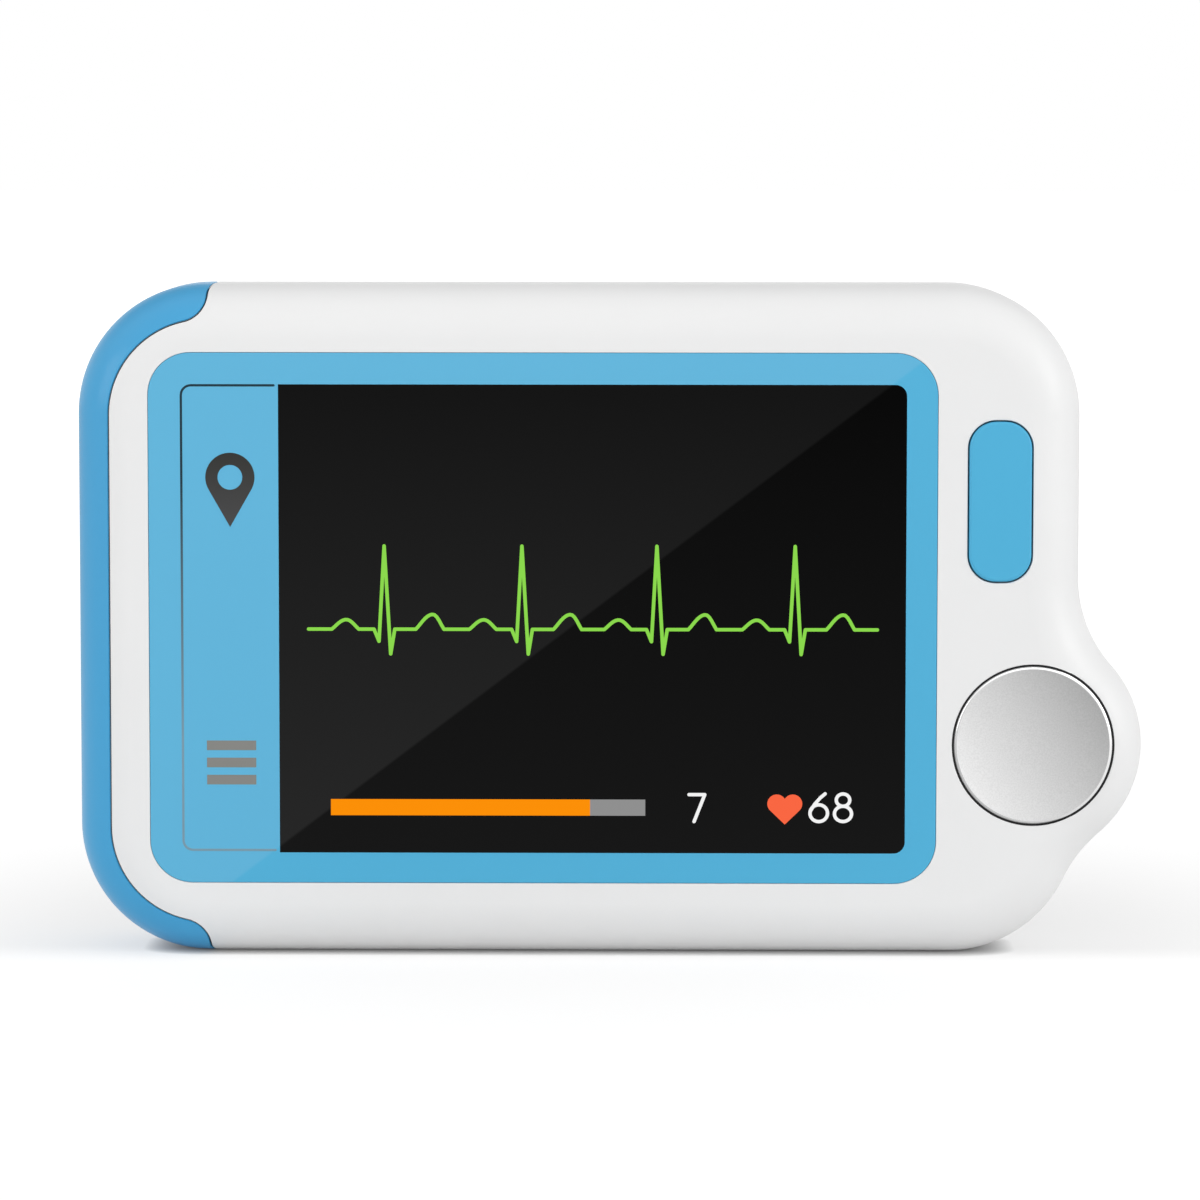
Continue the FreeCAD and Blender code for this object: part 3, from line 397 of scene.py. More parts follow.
# %% Cutters
INSIDE_BACK, IN_HOLLOW = 5.65, 3.0      # depth of the back wall's inner side, and of a place well inside
SEAT_RADIUS, SEAT_DEPTH, STEM_HOLE = 7.48, 1.05, 1.5


def flared(edge, depth, face=0.0, inward=1, grow=0.0, outside=4.0):
    """Levels of a cutter through a face: inward is +1 from the front and -1 from the back."""
    return [(-grow - edge, face - inward * outside), (-grow - edge, face),
            (-grow, face + inward * edge), (-grow, face + inward * depth)]


def socket_opening():
    """The round-cornered hole in the lower wall for the charging socket."""
    cutter = loft("socket_hole", rounded(-9.1, -1.55, 8.2, 3.2, 0.9), flared(0.2, 6.9))
    cutter.data.transform(Matrix(((1, 0, 0, 0), (0, 0, 1, 0), (0, 1, 0, 0), (0, 0, 0, 1))))
    outward(cutter.data)
    return cutter


def cut_seats(shell, face, inward):
    """The seat and stem hole of a round electrode, and the socket's hole."""
    combine(shell, loft("seat", circle(*ELECTRODE, SEAT_RADIUS), flared(0.05, SEAT_DEPTH, face, inward)))
    combine(shell, prism("stem", circle(*ELECTRODE, STEM_HOLE, 32), *sorted((face, -inward * IN_HOLLOW))))
    combine(shell, socket_opening())


# %% One half of the hollow case
BREAK = 0.12                            # broken edge where the two halves meet


def hollow(face, inward):
    """The space inside the walls on one side of the joint, stopped by the wall behind the bumper."""
    front, back = FRONT + FRONT_WALL, INSIDE_BACK
    levels = quarter(FRONT_ROUND - WALL, front + FRONT_ROUND - WALL, -1, 8, WALL)[::-1]
    levels += quarter(BACK_ROUND - WALL, back - BACK_ROUND + WALL, 1, 8, WALL)
    space = combine(loft("hollow", CASE, levels), bumper_zone(SEAM_GAP + WALL, step=3.0))
    slab = rounded(LEFT - BEYOND, -BEYOND, WIDTH + 2 * BEYOND, HEIGHT + 2 * BEYOND, 1.0, 45)
    side = prism("slab", slab, *sorted((face - inward * BEYOND, PARTING + inward)))
    return combine(space, side, "INTERSECT")


def half_shell(name, face, rounding, inward):
    levels = [(BREAK, PARTING), (0, PARTING - inward * BREAK)]
    levels += quarter(rounding, face + inward * rounding, -inward)
    shell = combine(loft(name, CASE, levels), bumper_zone(SEAM_GAP))
    return combine(shell, hollow(face, inward))


# %% [markdown]
# ## Front half of the case
# The front half is a shallow tray with a rounded face: a loft from the joint to the face, hollowed, and cut
# for the bumper, the window, the screen, the button and the electrode.

# %% Front shell
front = half_shell("case_front", FRONT, FRONT_ROUND, 1)
combine(front, seam_bar())
combine(front, loft("recess", rounded(*WINDOW), flared(0.03, 1.2, FRONT, grow=0.03)))
x, z, width, height = SCREEN
margin = 0.8                            # how much larger the hole behind the window is than the picture
picture = rounded(x - margin, z - margin, width + 2 * margin, height + 2 * margin, 0.3)
combine(front, prism("picture", picture, FRONT, -IN_HOLLOW))
hole = rounded(BUTTON[0] - BUTTON_HOLE[0] / 2, BUTTON[1] - BUTTON_HOLE[1] / 2, *BUTTON_HOLE)
combine(front, loft("button_hole", hole, flared(0.06, 4.0, FRONT)))
cut_seats(front, FRONT, 1)
finish(front, white_abs, replaces=["front_shell"])

# %% [markdown]
# ## Sound slots by Geometry Nodes
# Five equal slots over the sounder follow a rule, so a node tree makes the cutter: a line of points, and on
# each one a slot swept from a rounded outline. A new count or pitch remakes the row.

# %% Trees with named inputs
def new_tree(name, *sizes):
    """A geometry tree with inputs for its sizes and its material, and those inputs."""
    tree = bpy.data.node_groups.new(name, "GeometryNodeTree")
    kinds = {"Geometry": "Geometry", "Count": "Int", "Material": "Material"}
    for title in ("Geometry",) + sizes + ("Material",):
        tree.interface.new_socket(title, in_out="INPUT", socket_type="NodeSocket" + kinds.get(title, "Float"))
    tree.interface.new_socket("Geometry", in_out="OUTPUT", socket_type="NodeSocketGeometry")
    return tree, tree.nodes.new("NodeGroupInput").outputs


def close_tree(tree, geometry, material):
    """Ends a tree in plain mesh with its material."""
    real = add(tree, "RealizeInstances", Geometry=geometry)
    painted = add(tree, "SetMaterial", Geometry=real, Material=material)
    add(tree, "GroupOutput", Geometry=painted)


def grow_by_tree(name, tree, material, points=((0, 0, 0),), edges=(), **sizes):
    """Runs a tree on a few points or edges and keeps the result as a plain mesh."""
    values = {"Material": material} | {title.replace("_", " "): size for title, size in sizes.items()}
    mesh = bpy.data.meshes.new(name)
    mesh.from_pydata(points, edges, [])
    thing = in_scene(name, mesh)
    grower = thing.modifiers.new("grow", "NODES")
    grower.node_group = tree
    for item in tree.interface.items_tree:
        if item.in_out == "INPUT" and item.name in values:
            grower[item.identifier] = values[item.name]
    settle(thing)
    return thing


# %% Slot row
tree, given = new_tree("sound_slots", "Count", "Pitch", "Width", "Length", "Depth")
span = add(tree, "Math", operation="MULTIPLY_ADD", i0=given["Count"], i1=-0.5, i2=0.5)
first = add(tree, "Math", operation="MULTIPLY", i0=span, i1=given["Pitch"])
start = add(tree, "CombineXYZ", X=first)
stride = add(tree, "CombineXYZ", X=given["Pitch"])
row = add(tree, "MeshLine", Count=given["Count"], Start_Location=start, Offset=stride)
outline = add(tree, "CurvePrimitiveQuadrilateral", Width=given["Width"], Height=given["Length"])
half = add(tree, "Math", operation="MULTIPLY", i0=given["Width"], i1=0.49)
ends = add(tree, "FilletCurve", mode="POLY", Curve=outline, Radius=half, Count=6)
far = add(tree, "CombineXYZ", Y=given["Depth"])
sweep = add(tree, "CurvePrimitiveLine", End=far)
bar = add(tree, "CurveToMesh", Curve=sweep, Profile_Curve=ends, Fill_Caps=True)
bars = add(tree, "InstanceOnPoints", Points=row, Instance=bar)
close_tree(tree, bars, given["Material"])
slots = grow_by_tree("slots", tree, white_abs, Count=5, Pitch=1.9, Width=0.9, Length=6.5, Depth=5.0)
over_sounder = (25.0, 5.0, 42.0)
slots.data.transform(Matrix.Translation(over_sounder))
print("slot cutter", [round(v, 2) for v in slots.dimensions])

# %% [markdown]
# ## Back half of the case
# The back half carries the screw wells, the sound slots and the seat of the finger electrode. The tubes of
# the wells are added before the holes go through them.

# %% Back shell
TUBE_RADIUS, WELL_RADIUS, BORE_RADIUS = 3.0, 2.1, 0.97
TUBE_END, WELL_FLOOR = 1.75, 2.95       # depths of the tube's inner end and of the floor under the head
back = half_shell("case_back", BACK, BACK_ROUND, -1)
for x, z in SCREWS:
    combine(back, prism("tube", circle(x, z, TUBE_RADIUS, 48), TUBE_END, INSIDE_BACK + 0.25), "UNION")
for x, z in SCREWS:
    combine(back, loft("well", circle(x, z, WELL_RADIUS, 48), flared(0.15, BACK - WELL_FLOOR, BACK, -1)))
    combine(back, prism("bore", circle(x, z, BORE_RADIUS, 32), TUBE_END - 0.75, WELL_FLOOR + 1.05))
combine(back, seam_bar())
combine(back, slots)
cut_seats(back, BACK, -1)
finish(back, white_abs, replaces=["rear_shell"])

# %% [markdown]
# ## Bumper
# The bumper is the left end of the same outer form, kept by the seam's zone, so it is flush with the case all
# along the joint. A long shallow seat in its side takes the other hand's electrode. The bumper is left full
# here: nobody can see into it, and no light shines through the joint.

# %% Bumper
SIDE_WIDTH, SIDE_LENGTH, SIDE_DEPTH = 4.6, 34.0, 0.83
SIDE_STEM_UP = 14.5                     # the side electrode's stem, above its middle


def on_side(piece, up=0.0):
    """Turns a loft so that its depth runs inward from the left side."""
    place = Matrix.Translation((LEFT, PARTING, HEIGHT / 2 + up))
    piece.data.transform(place @ Matrix.Rotation(math.radians(-90), 4, "Z"))
    return piece


def side_plate(name, levels, gap=0.0):
    """A stadium-shaped loft in the left side, as large as the side electrode and a gap round it."""
    width, length = SIDE_WIDTH + 2 * gap, SIDE_LENGTH + 2 * gap
    return on_side(loft(name, rounded(-width / 2, -length / 2, width, length, width / 2 - 0.01, 5.0), levels))


def side_rod(name, radius, start, end):
    """A round bar along the side electrode's stem, between two depths from the left side."""
    return on_side(prism(name, circle(0, 0, radius, 40), start, end), SIDE_STEM_UP)


levels = quarter(FRONT_ROUND, FRONT + FRONT_ROUND, -1)[::-1] + quarter(BACK_ROUND, BACK - BACK_ROUND, 1)
bumper = combine(loft("bumper", CASE, levels), bumper_zone(0), "INTERSECT")
combine(bumper, seam_bar())
combine(bumper, side_plate("seat", flared(0.12, SIDE_DEPTH), gap=0.12))
combine(bumper, side_rod("bore", STEM_HOLE, 0.5, 5.0))
finish(bumper, bumper_tpe, replaces=["end_cap"])

# %% [markdown]
# ## Window and screen
# The window is a clear sheet with blue ink printed on its back, and the display shows black through the gap
# in the ink. Light meets the clear face first, so ink and screen share one smooth gloss. A painted reflection
# lies on both: they are lighter above a diagonal line from the sheet's lower left to its upper right. The
# sheet is two pieces that meet flush: the inked border and the clear part over the screen.

# %% Gloss finishes
# Slope of the painted reflection's diagonal line, and the heights in mm across which it fades in.
PAINTED_SHEEN_SLOPE, PAINTED_SHEEN_FROM, PAINTED_SHEEN_TO = 0.758, 33.2, 33.5


def above_painted_sheen_line(tree, place):
    """1 above the line where the painted sheen ends, which runs from the sheet's lower left to its upper
    right.
    """
    axes = add(tree, "SeparateXYZ", Vector=place).outputs
    height = add(tree, "Math", operation="MULTIPLY_ADD", i0=axes["X"], i1=-PAINTED_SHEEN_SLOPE, i2=axes["Z"])
    return add(tree, "MapRange", Value=height, From_Min=PAINTED_SHEEN_FROM * MM, From_Max=PAINTED_SHEEN_TO * MM)


def printed(name, code, specular=0.03, lit=False, fade=None, painted_sheen=None):
    """Ink or lit pixels behind a clear face. fade is (other colour, z from, z to). painted_sheen is the
    colour of a painted reflection above the diagonal line.
    """
    material, tree, place = new_material(name)
    slow = add(tree, "TexNoise", Vector=place, Scale=1 / (25 * MM), Detail=1.0)
    tint = add(tree, "Mix", data_type="RGBA", i0=slow, i6=colour(code, 0.985), i7=colour(code, 1.015))
    if fade:
        other, start, end = fade
        height = add(tree, "SeparateXYZ", Vector=place).outputs["Z"]
        share = add(tree, "MapRange", Value=height, From_Min=start * MM, From_Max=end * MM)
        tint = add(tree, "Mix", data_type="RGBA", i0=share, i6=tint, i7=colour(other))
    # Painted reflection: above the diagonal line the colour turns to the lighter painted_sheen colour.
    if painted_sheen:
        tint = add(tree, "Mix", data_type="RGBA", i0=above_painted_sheen_line(tree, place), i6=tint, i7=colour(painted_sheen))
    look = {"Base_Color": tint}
    if lit:
        look = {"Base_Color": (0, 0, 0, 1), "Emission_Color": tint, "Emission_Strength": 1.0}
    surface = add(tree, "BsdfPrincipled", Roughness=0.12, Specular_IOR_Level=specular, **look)
    add(tree, "OutputMaterial", Surface=surface)
    return material


def screen_finish():
    """Dark display behind a clear sheet. Its glow is a painted reflection: lighter towards the bottom, and
    lighter again above the diagonal line.
    """
    material, tree, place = new_material("display_behind_clear_sheet")
    height = add(tree, "SeparateXYZ", Vector=place).outputs["Z"]
    # Painted reflection: the glow grows lighter from the top of the screen towards its bottom.
    rise = add(tree, "MapRange", Value=height, From_Min=SCREEN[1] * MM, From_Max=(SCREEN[1] + SCREEN[3]) * MM,
               To_Min=1.0, To_Max=0.0)
    low = add(tree, "Mix", data_type="RGBA", i0=rise, i6=colour("#010101"), i7=colour("#141414"))
    high = add(tree, "Mix", data_type="RGBA", i0=rise, i6=colour("#101010"), i7=colour("#252525"))
    # Painted reflection: above the diagonal line the glow turns lighter still.
    tone = add(tree, "Mix", data_type="RGBA", i0=above_painted_sheen_line(tree, place), i6=low, i7=high)
    surface = add(tree, "BsdfPrincipled", Base_Color=(0.0005, 0.0005, 0.0005, 1), Roughness=0.06,
                  Specular_IOR_Level=0.02, Emission_Color=tone, Emission_Strength=1.0)
    add(tree, "OutputMaterial", Surface=surface)
    return material


# The blue border carries a painted reflection, lighter above the diagonal line.
blue_ink = printed("blue_ink_behind_acrylic", "#52B4DD", 0.2, painted_sheen="#61B8DF")
display = screen_finish()
print("window finishes", blue_ink.name, display.name)

# %% Window border and clear part
SHEET, SCREEN_CORNER = 1.0, 1.05


def screen_section():
    """The picture area: its right corners are round and its left ones square."""
    x, z, width, height = SCREEN
    r = SCREEN_CORNER
    right = arc(x + width - r, z + height - r, r, 0, 90, step=10) + [(x, z + height, 0, 0), (x, z, 0, 0)]
    return right + arc(x + width - r, z + r, r, 270, 360, step=10)


softened = [(0.1, 0), (0.06, 0.02), (0.01, 0.06), (0, 0.1), (0, SHEET)]
border = loft("window_border", rounded(*WINDOW), [(inset, FRONT + depth) for inset, depth in softened])
combine(border, prism("gap", screen_section(), FRONT - 1, FRONT + 2))
finish(border, blue_ink, replaces=["display_window"])
clear = prism("window_over_screen", screen_section(), FRONT, FRONT + SHEET)
finish(clear, display, replaces=["display_window"])

# %% [markdown]
# ## Lines drawn by Geometry Nodes
# The heartbeat, the digits and the sidebar's frame are lines of one width. A tree puts a rod on each edge
# and a ball on each point, then flattens them to a thin raised line, so every corner stays full.

# %% Line tree
tree, given = new_tree("drawn_line", "Width", "Relief", "Face")
apart = add(tree, "SplitEdges", Mesh=given["Geometry"])
runs = add(tree, "MeshToCurve", Mesh=apart)
half = add(tree, "Math", operation="MULTIPLY", i0=given["Width"], i1=0.5)
ring = add(tree, "CurvePrimitiveCircle", Resolution=12, Radius=half)
rods = add(tree, "CurveToMesh", Curve=runs, Profile_Curve=ring, Fill_Caps=True)
ball = add(tree, "MeshUVSphere", Segments=16, Rings=8, Radius=half)
balls = add(tree, "InstanceOnPoints", Points=given["Geometry"], Instance=ball)
both = add(tree, "JoinGeometry", Geometry=[rods, balls])
whole = add(tree, "RealizeInstances", Geometry=both)
share = add(tree, "Math", operation="DIVIDE", i0=given["Relief"], i1=half)
flat = add(tree, "CombineXYZ", X=1.0, Y=share, Z=1.0)
move = add(tree, "CombineXYZ", Y=given["Face"])
pressed = add(tree, "Transform", Geometry=whole, Translation=move, Scale=flat)
close_tree(tree, pressed, given["Material"])
line_tree = tree


def drawn(name, lines, width, material):
    """Lines given as lists of (x, z), drawn on the window's face."""
    points, edges = [], []
    for line in lines:
        edges += [(len(points) + i, len(points) + i + 1) for i in range(len(line) - 1)]
        points += [(x, 0, z) for x, z in line]
    line = grow_by_tree(name, line_tree, material, points, edges, Width=width, Relief=0.015, Face=FRONT)
    finish(line, material)


# %% Heartbeat
trace_green = printed("green_lit_pixels", "#8AD84C", lit=True)
BASE, TRACE_START, TRACE_END, BEATS = 30.40, -27.73, 24.53, (-20.76, -8.11, 4.28, 16.96)
SPIKE = [(-0.95, 0), (-0.49, -1.12), (0, 7.67), (0.58, -2.28), (0.96, 0)]


def wave(start, top, end, height, steps=12):
    """A low rounded wave on the base line."""
    line, peak = [], (top - start) / (end - start)
    for i in range(steps + 1):
        t = i / steps
        share = t / peak if t < peak else (1 - t) / (1 - peak)
        line.append((start + (end - start) * t, BASE + height * math.sin(math.pi / 2 * share) ** 1.15))
    return line


trace = [(TRACE_START, BASE)]
for beat in BEATS:
    trace += wave(beat - 4.83, beat - 3.5, beat - 2.35, 0.88)
    trace += [(beat + x, BASE + z) for x, z in SPIKE]
    trace += wave(beat + 2.89, beat + 4.46, beat + 5.48, 1.37)
trace.append((TRACE_END, BASE))
drawn("heartbeat", [trace], 0.32, trace_green)

# %% Digits
pixel_white = printed("white_lit_pixels", "#F4F4F4", lit=True)


def oval(cx, cz, rx, rz, start=0, end=360, count=28):
    angles = [math.radians(start + (end - start) * i / count) for i in range(count + 1)]
    return [(cx + rx * math.cos(a), cz + rz * math.sin(a)) for a in angles]


seven = [(7.27, 15.14), (8.72, 15.14), (7.74, 12.64)]
six_bowl = oval(19.22, 13.44, 0.81, 0.78)
six_tail = [(19.80, 15.24), (19.35, 14.86), (18.83, 14.26), (18.44, 13.62)]
eight_top = oval(21.45, 14.66, 0.62, 0.57)
eight_low = oval(21.45, 13.38, 0.79, 0.71)
drawn("digits", [seven, six_bowl, six_tail, eight_top, eight_low], 0.31, pixel_white)

# %% Sidebar frame
frame_ink = printed("grey_ink_line", "#7A9CAE", 0.2, fade=("#12303D", 20.0, 44.0))
corners = arc(-38.45, 51.9, 0.9, 90, 180, step=15) + arc(-38.45, 10.82, 0.9, 180, 270, step=15)
drawn("sidebar_frame", [[(-30.85, 52.8)] + plain_line(corners) + [(-30.85, 9.92)]], 0.22, frame_ink)

# %% [markdown]
# ## Flat signs
# The pin, the heart and the progress bar are filled shapes. A flat curve fills its own holes, so each sign is
# a curve made into a thin mesh and stood up on the window. The three menu bars are a repeat, made by a tree.

# %% Flat shapes
def sign(name, outlines, material):
    """Filled outlines of (x, z), a little proud of the window."""
    curve = bpy.data.curves.new(name, "CURVE")
    curve.dimensions, curve.fill_mode, curve.extrude = "2D", "BOTH", 0.012
    for outline in outlines:
        spline = curve.splines.new("POLY")
        spline.points.add(len(outline) - 1)
        for point, (x, z) in zip(spline.points, outline):
            point.co = (x, z, 0, 1)
        spline.use_cyclic_u = True
    drawing = in_scene(name + "_curve", curve)
    mesh = mesh_of(drawing)
    bpy.data.objects.remove(drawing)
    mesh.transform(Matrix(((1, 0, 0, 0), (0, 0, -1, FRONT), (0, 1, 0, 0), (0, 0, 0, 1))))
    mesh.name = name
    outward(mesh, merge=1e-4)
    finish(in_scene(name, mesh), material)


orange_pixels = printed("orange_lit_pixels", "#FC8F00", lit=True)
grey_pixels = printed("grey_lit_pixels", "#8F8F8F", lit=True)
red_pixels = printed("red_lit_pixels", "#F96641", lit=True)
dark_ink = printed("dark_grey_ink", "#484849", 0.1, fade=("#343431", 40.5, 46.6))
grey_ink = printed("mid_grey_ink", "#888884", 0.2)
for name, x0, x1, pixels in (("done", -25.73, -1.84, orange_pixels), ("left", -1.84, 3.24, grey_pixels)):
    sign("progress_" + name, [[(x0, 13.17), (x1, 13.17), (x1, 14.67), (x0, 14.67)]], pixels)

# %% Pin and heart
PIN, PIN_RADIUS, PIN_HOLE, PIN_TIP = (-34.89, 44.36), 2.26, 1.14, 39.79
reach = math.degrees(math.acos(PIN_RADIUS / (PIN[1] - PIN_TIP)))
pin = oval(*PIN, PIN_RADIUS, PIN_RADIUS, 270 + reach, 270 - reach + 360, 40) + [(PIN[0], PIN_TIP)]
sign("place_pin", [pin, plain_line(circle(*PIN, PIN_HOLE, 40))], dark_ink)


def heart_outline(cx, cz, lobe=0.87, apart=0.74, rise=0.5, point=-1.42):
    """Two round lobes, and straight sides that touch them and meet in a point."""
    tilt = math.degrees(math.atan2(rise - point, apart))
    touch = math.degrees(math.acos(lobe / math.hypot(apart, rise - point)))
    notch = math.degrees(math.acos(apart / lobe))
    right = plain_line(arc(apart, rise, lobe, -180 + tilt + touch, 180 - notch, step=8))
    return [(cx + x, cz + z) for x, z in [(0, point)] + right + [(-x, z) for x, z in reversed(right[:-1])]]


sign("heart", [heart_outline(16.09, 13.80)], red_pixels)

# %% Menu bars
tree, given = new_tree("menu_bars", "Count", "Pitch", "Length", "Height", "Relief")
down = add(tree, "Math", operation="MULTIPLY", i0=given["Pitch"], i1=-1.0)
stride = add(tree, "CombineXYZ", Z=down)
row = add(tree, "MeshLine", Count=given["Count"], Offset=stride)
size = add(tree, "CombineXYZ", X=given["Length"], Y=given["Relief"], Z=given["Height"])
bar = add(tree, "MeshCube", Size=size)
bars = add(tree, "InstanceOnPoints", Points=row, Instance=bar)
close_tree(tree, bars, given["Material"])
menu = grow_by_tree("menu_bars", tree, grey_ink, Count=3, Pitch=1.59, Length=4.54, Height=0.89, Relief=0.03)
menu.data.transform(Matrix.Translation((-34.87, FRONT, 19.63)))
finish(menu, grey_ink)

# %% [markdown]
# ## Measuring button
# The button is a cap with a softly rounded edge, a lip behind the case wall and a post that meets the switch.
# It rides on the moving body, so it slides in when the joint moves.

# %% Button
CAP_GAP, CAP_EDGE, CAP_PROUD = 0.14, 0.3, 0.2
LIP, LIP_FRONT, LIP_BACK = 0.7, -5.1, -4.4
levels = quarter(CAP_EDGE, FRONT - CAP_PROUD + CAP_EDGE, -1, 6, CAP_GAP)[::-1]
levels += [(CAP_GAP, LIP_FRONT), (-LIP, LIP_FRONT), (-LIP, LIP_BACK)]
button = loft("button_cap", hole, levels)
combine(button, prism("post", circle(*BUTTON, 1.5, 40), LIP_BACK - 0.2, -4.05), "UNION")
finish(button, button_abs, body="button", replaces=["measure_button"])

# %% [markdown]
# ## Electrodes
# The round electrodes are turned from stainless steel, slightly dished for a thumb and a finger, with a
# polished bevel. Bead blasting leaves a fine bright speckle on the face. Each one is drawn as on a lathe: a
# profile spun about its axis.

# %% Steel finishes
def blasted_steel(name, code, roughness, speckle=0.16, depth=0.002, contrast=0.09, painted_sheen=0.0):
    """Blasted steel. painted_sheen is how much painted light makes a disc lighter at its lower left and
    darker at its upper right; below zero it turns the other way round.
    """
    material, tree, place = new_material(name)
    grain = add(tree, "TexNoise", Vector=place, Scale=1 / (speckle * MM), Detail=2.0)
    dots = add(tree, "MapRange", Value=grain, From_Min=0.35, From_Max=0.65)
    tint = add(tree, "Mix", data_type="RGBA", i0=dots, i6=colour(code, 1 - contrast),
               i7=colour(code, 1 + contrast))
    # Painted light: the colour is scaled up towards the disc's lower left and down towards its upper right.
    if painted_sheen:
        tilt, reach = 0.6, 8 * MM
        axes = add(tree, "SeparateXYZ", Vector=place).outputs
        along = add(tree, "Math", operation="MULTIPLY_ADD", i0=axes["Z"], i1=tilt, i2=axes["X"])
        middle = (ELECTRODE[0] + tilt * ELECTRODE[1]) * MM
        share = add(tree, "MapRange", Value=along, From_Min=middle - reach, From_Max=middle + reach,
                    To_Min=1 + painted_sheen, To_Max=1 - painted_sheen)
        tint = add(tree, "Mix", data_type="RGBA", blend_type="MULTIPLY", i0=1.0, i6=tint, i7=share)
    rough = add(tree, "MapRange", Value=dots, To_Min=roughness + 0.05, To_Max=roughness - 0.05)
    bump = add(tree, "Bump", Height=grain, Strength=0.5, Distance=depth * MM)
    surface = add(tree, "BsdfPrincipled", Base_Color=tint, Metallic=1.0, Roughness=rough, Normal=bump)
    add(tree, "OutputMaterial", Surface=surface)
    return material


# The front disc carries a painted shade: lighter at its lower left, darker at its upper right.
thumb_steel = blasted_steel("bead_blasted_stainless_steel", "#CBCBCB", 0.34, speckle=0.13, contrast=0.05,
                            painted_sheen=0.33)
electrode_steel = blasted_steel("bead_blasted_stainless_steel_plain", "#BEBEBF", 0.34, speckle=0.13,
                                contrast=0.05)
print("steel finishes", thumb_steel.name, electrode_steel.name)

# %% Turned discs
RIM_INNER, DISC, STEM, ROUND_STEPS = 7.03, 1.0, 1.4, 128


def electrode(name, face, inward, stem_end, material, node):
    """A disc with a dished face, and its stem: a profile of (radius, depth) spun about its axis."""
    dish = [(RIM_INNER * s, 0.25 * (1 - s ** 3)) for s in (0.05, 0.2, 0.35, 0.5, 0.62, 0.74, 0.84, 0.92, 1.0)]
    profile = dish + [(RIM_INNER, DISC), (STEM, DISC), (STEM, stem_end)]
    levels = [(RIM_INNER - radius, face + inward * depth) for radius, depth in profile]
    finish(loft(name, circle(*ELECTRODE, RIM_INNER, ROUND_STEPS), levels), material,
           angle=24, replaces=[node])


electrode("electrode_front", FRONT + 0.05, 1, 2.85, thumb_steel, "front_electrode")
electrode("electrode_back", BACK - 0.05, -1, 2.55, electrode_steel, "rear_electrode")

# %% [markdown]
# ## Rings and beads
# Each round electrode has a polished bevel, which catches a bright line of light; a painted highlight at its
# upper right and a painted shade at its lower left add to it. A black bead fills the gap to the case: a dark
# piece of painted shade, where the gap would lie in shadow. Both are rings: a closed profile carried round
# the axis. A thinner black bead of painted shade lies at the bottom of the groove along the bumper's seam,
# where it shows as a fine dark line.

# %% Rims, and beads of painted shade
# The bevels carry a painted highlight at their upper right and a painted shade at their lower left.
rim_steel = blasted_steel("polished_stainless_steel", "#DADADA", 0.14, depth=0.0005, contrast=0.01,
                          painted_sheen=-0.25)
# A black filler that stands in for the shade in the gaps and in the seam's groove: painted shade.
painted_shade_filler = moulded("black_filler_for_painted_shade", "#1B1B1C", 0.5, grain=0.2, relief=0.003, specular=0.2)


def ring(name, profile, face, inward, material, slot):
    """A closed profile of (radius, depth) carried round the electrode's axis."""
    cx, cz = ELECTRODE
    stations = [[(cx + radius * ux, face + inward * depth, cz + radius * uz) for radius, depth in profile]
                for ux, uz in plain_line(circle(0, 0, 1, ROUND_STEPS))]
    finish(closed_bar(name, stations), material)


RIM_OUTER, GAP_OUTER = 7.3, 7.5
bevel = [(RIM_INNER, 0.05), (7.08, 0.055), (7.26, 0.17), (RIM_OUTER, 0.24), (RIM_OUTER, DISC),
         (RIM_INNER, DISC)]
gap = [(RIM_OUTER, 0.24), (GAP_OUTER, 0.24), (GAP_OUTER, 0.9), (RIM_OUTER, 0.9)]
for side, face, inward in (("front", FRONT, 1), ("back", BACK, -1)):
    ring("electrode_rim_" + side, bevel, face, inward, rim_steel, "electrode_steel")
    # Each gap round an electrode is filled by a black ring of painted shade.
    ring("sealing_bead_" + side, gap, face, inward, painted_shade_filler, "adhesive")
# A black strip of painted shade at the bottom of the seam's groove.
finish(seam_bar("sealing_bead_bumper", half_width=0.06, lift=-0.15), painted_shade_filler)

# %% Side electrode
plate = side_plate("electrode_side", [(0.25, 0.03), (0.08, 0.08), (0, 0.2), (0, SIDE_DEPTH)])
combine(plate, side_rod("side_stem", STEM, 0.4, 5.85), "UNION")
finish(plate, electrode_steel, replaces=["left_electrode"])

# %% [markdown]
# ## Case screws by Geometry Nodes
# A tree puts one screw on each of four points, in the wells of the back: a low head with a cross-shaped
# recess cut by two crossed bars, and a plain shank.

# %% Screws
screw_steel = blasted_steel("zinc_plated_steel", "#B9BBBD", 0.3, speckle=0.12, depth=0.001, contrast=0.02)
tree, given = new_tree("case_screws", "Head radius", "Head height", "Shank radius", "Shank length")
head = add(tree, "MeshCylinder", Vertices=40, Radius=given["Head radius"], Depth=given["Head height"])
long, wide = (add(tree, "Math", operation="MULTIPLY", i0=given["Head radius"], i1=share)
              for share in (1.15, 0.3))
lift = add(tree, "Math", operation="MULTIPLY", i0=given["Head height"], i1=0.4)
raised = add(tree, "CombineXYZ", Z=lift)
arms = []
for x, y in ((long, wide), (wide, long)):
    size = add(tree, "CombineXYZ", X=x, Y=y, Z=given["Head height"])
    arm = add(tree, "MeshCube", Size=size)
    arms.append(add(tree, "Transform", Geometry=arm, Translation=raised))
cross = add(tree, "MeshBoolean", operation="UNION", solver="EXACT", i1=arms)
cut_head = add(tree, "MeshBoolean", operation="DIFFERENCE", solver="EXACT", i0=head, i1=cross)
shank = add(tree, "MeshCylinder", Vertices=24, Radius=given["Shank radius"], Depth=given["Shank length"])
drop = add(tree, "Math", operation="MULTIPLY_ADD", i0=given["Shank length"], i1=-0.5, i2=-0.5)
below = add(tree, "CombineXYZ", Z=drop)
low = add(tree, "Transform", Geometry=shank, Translation=below)
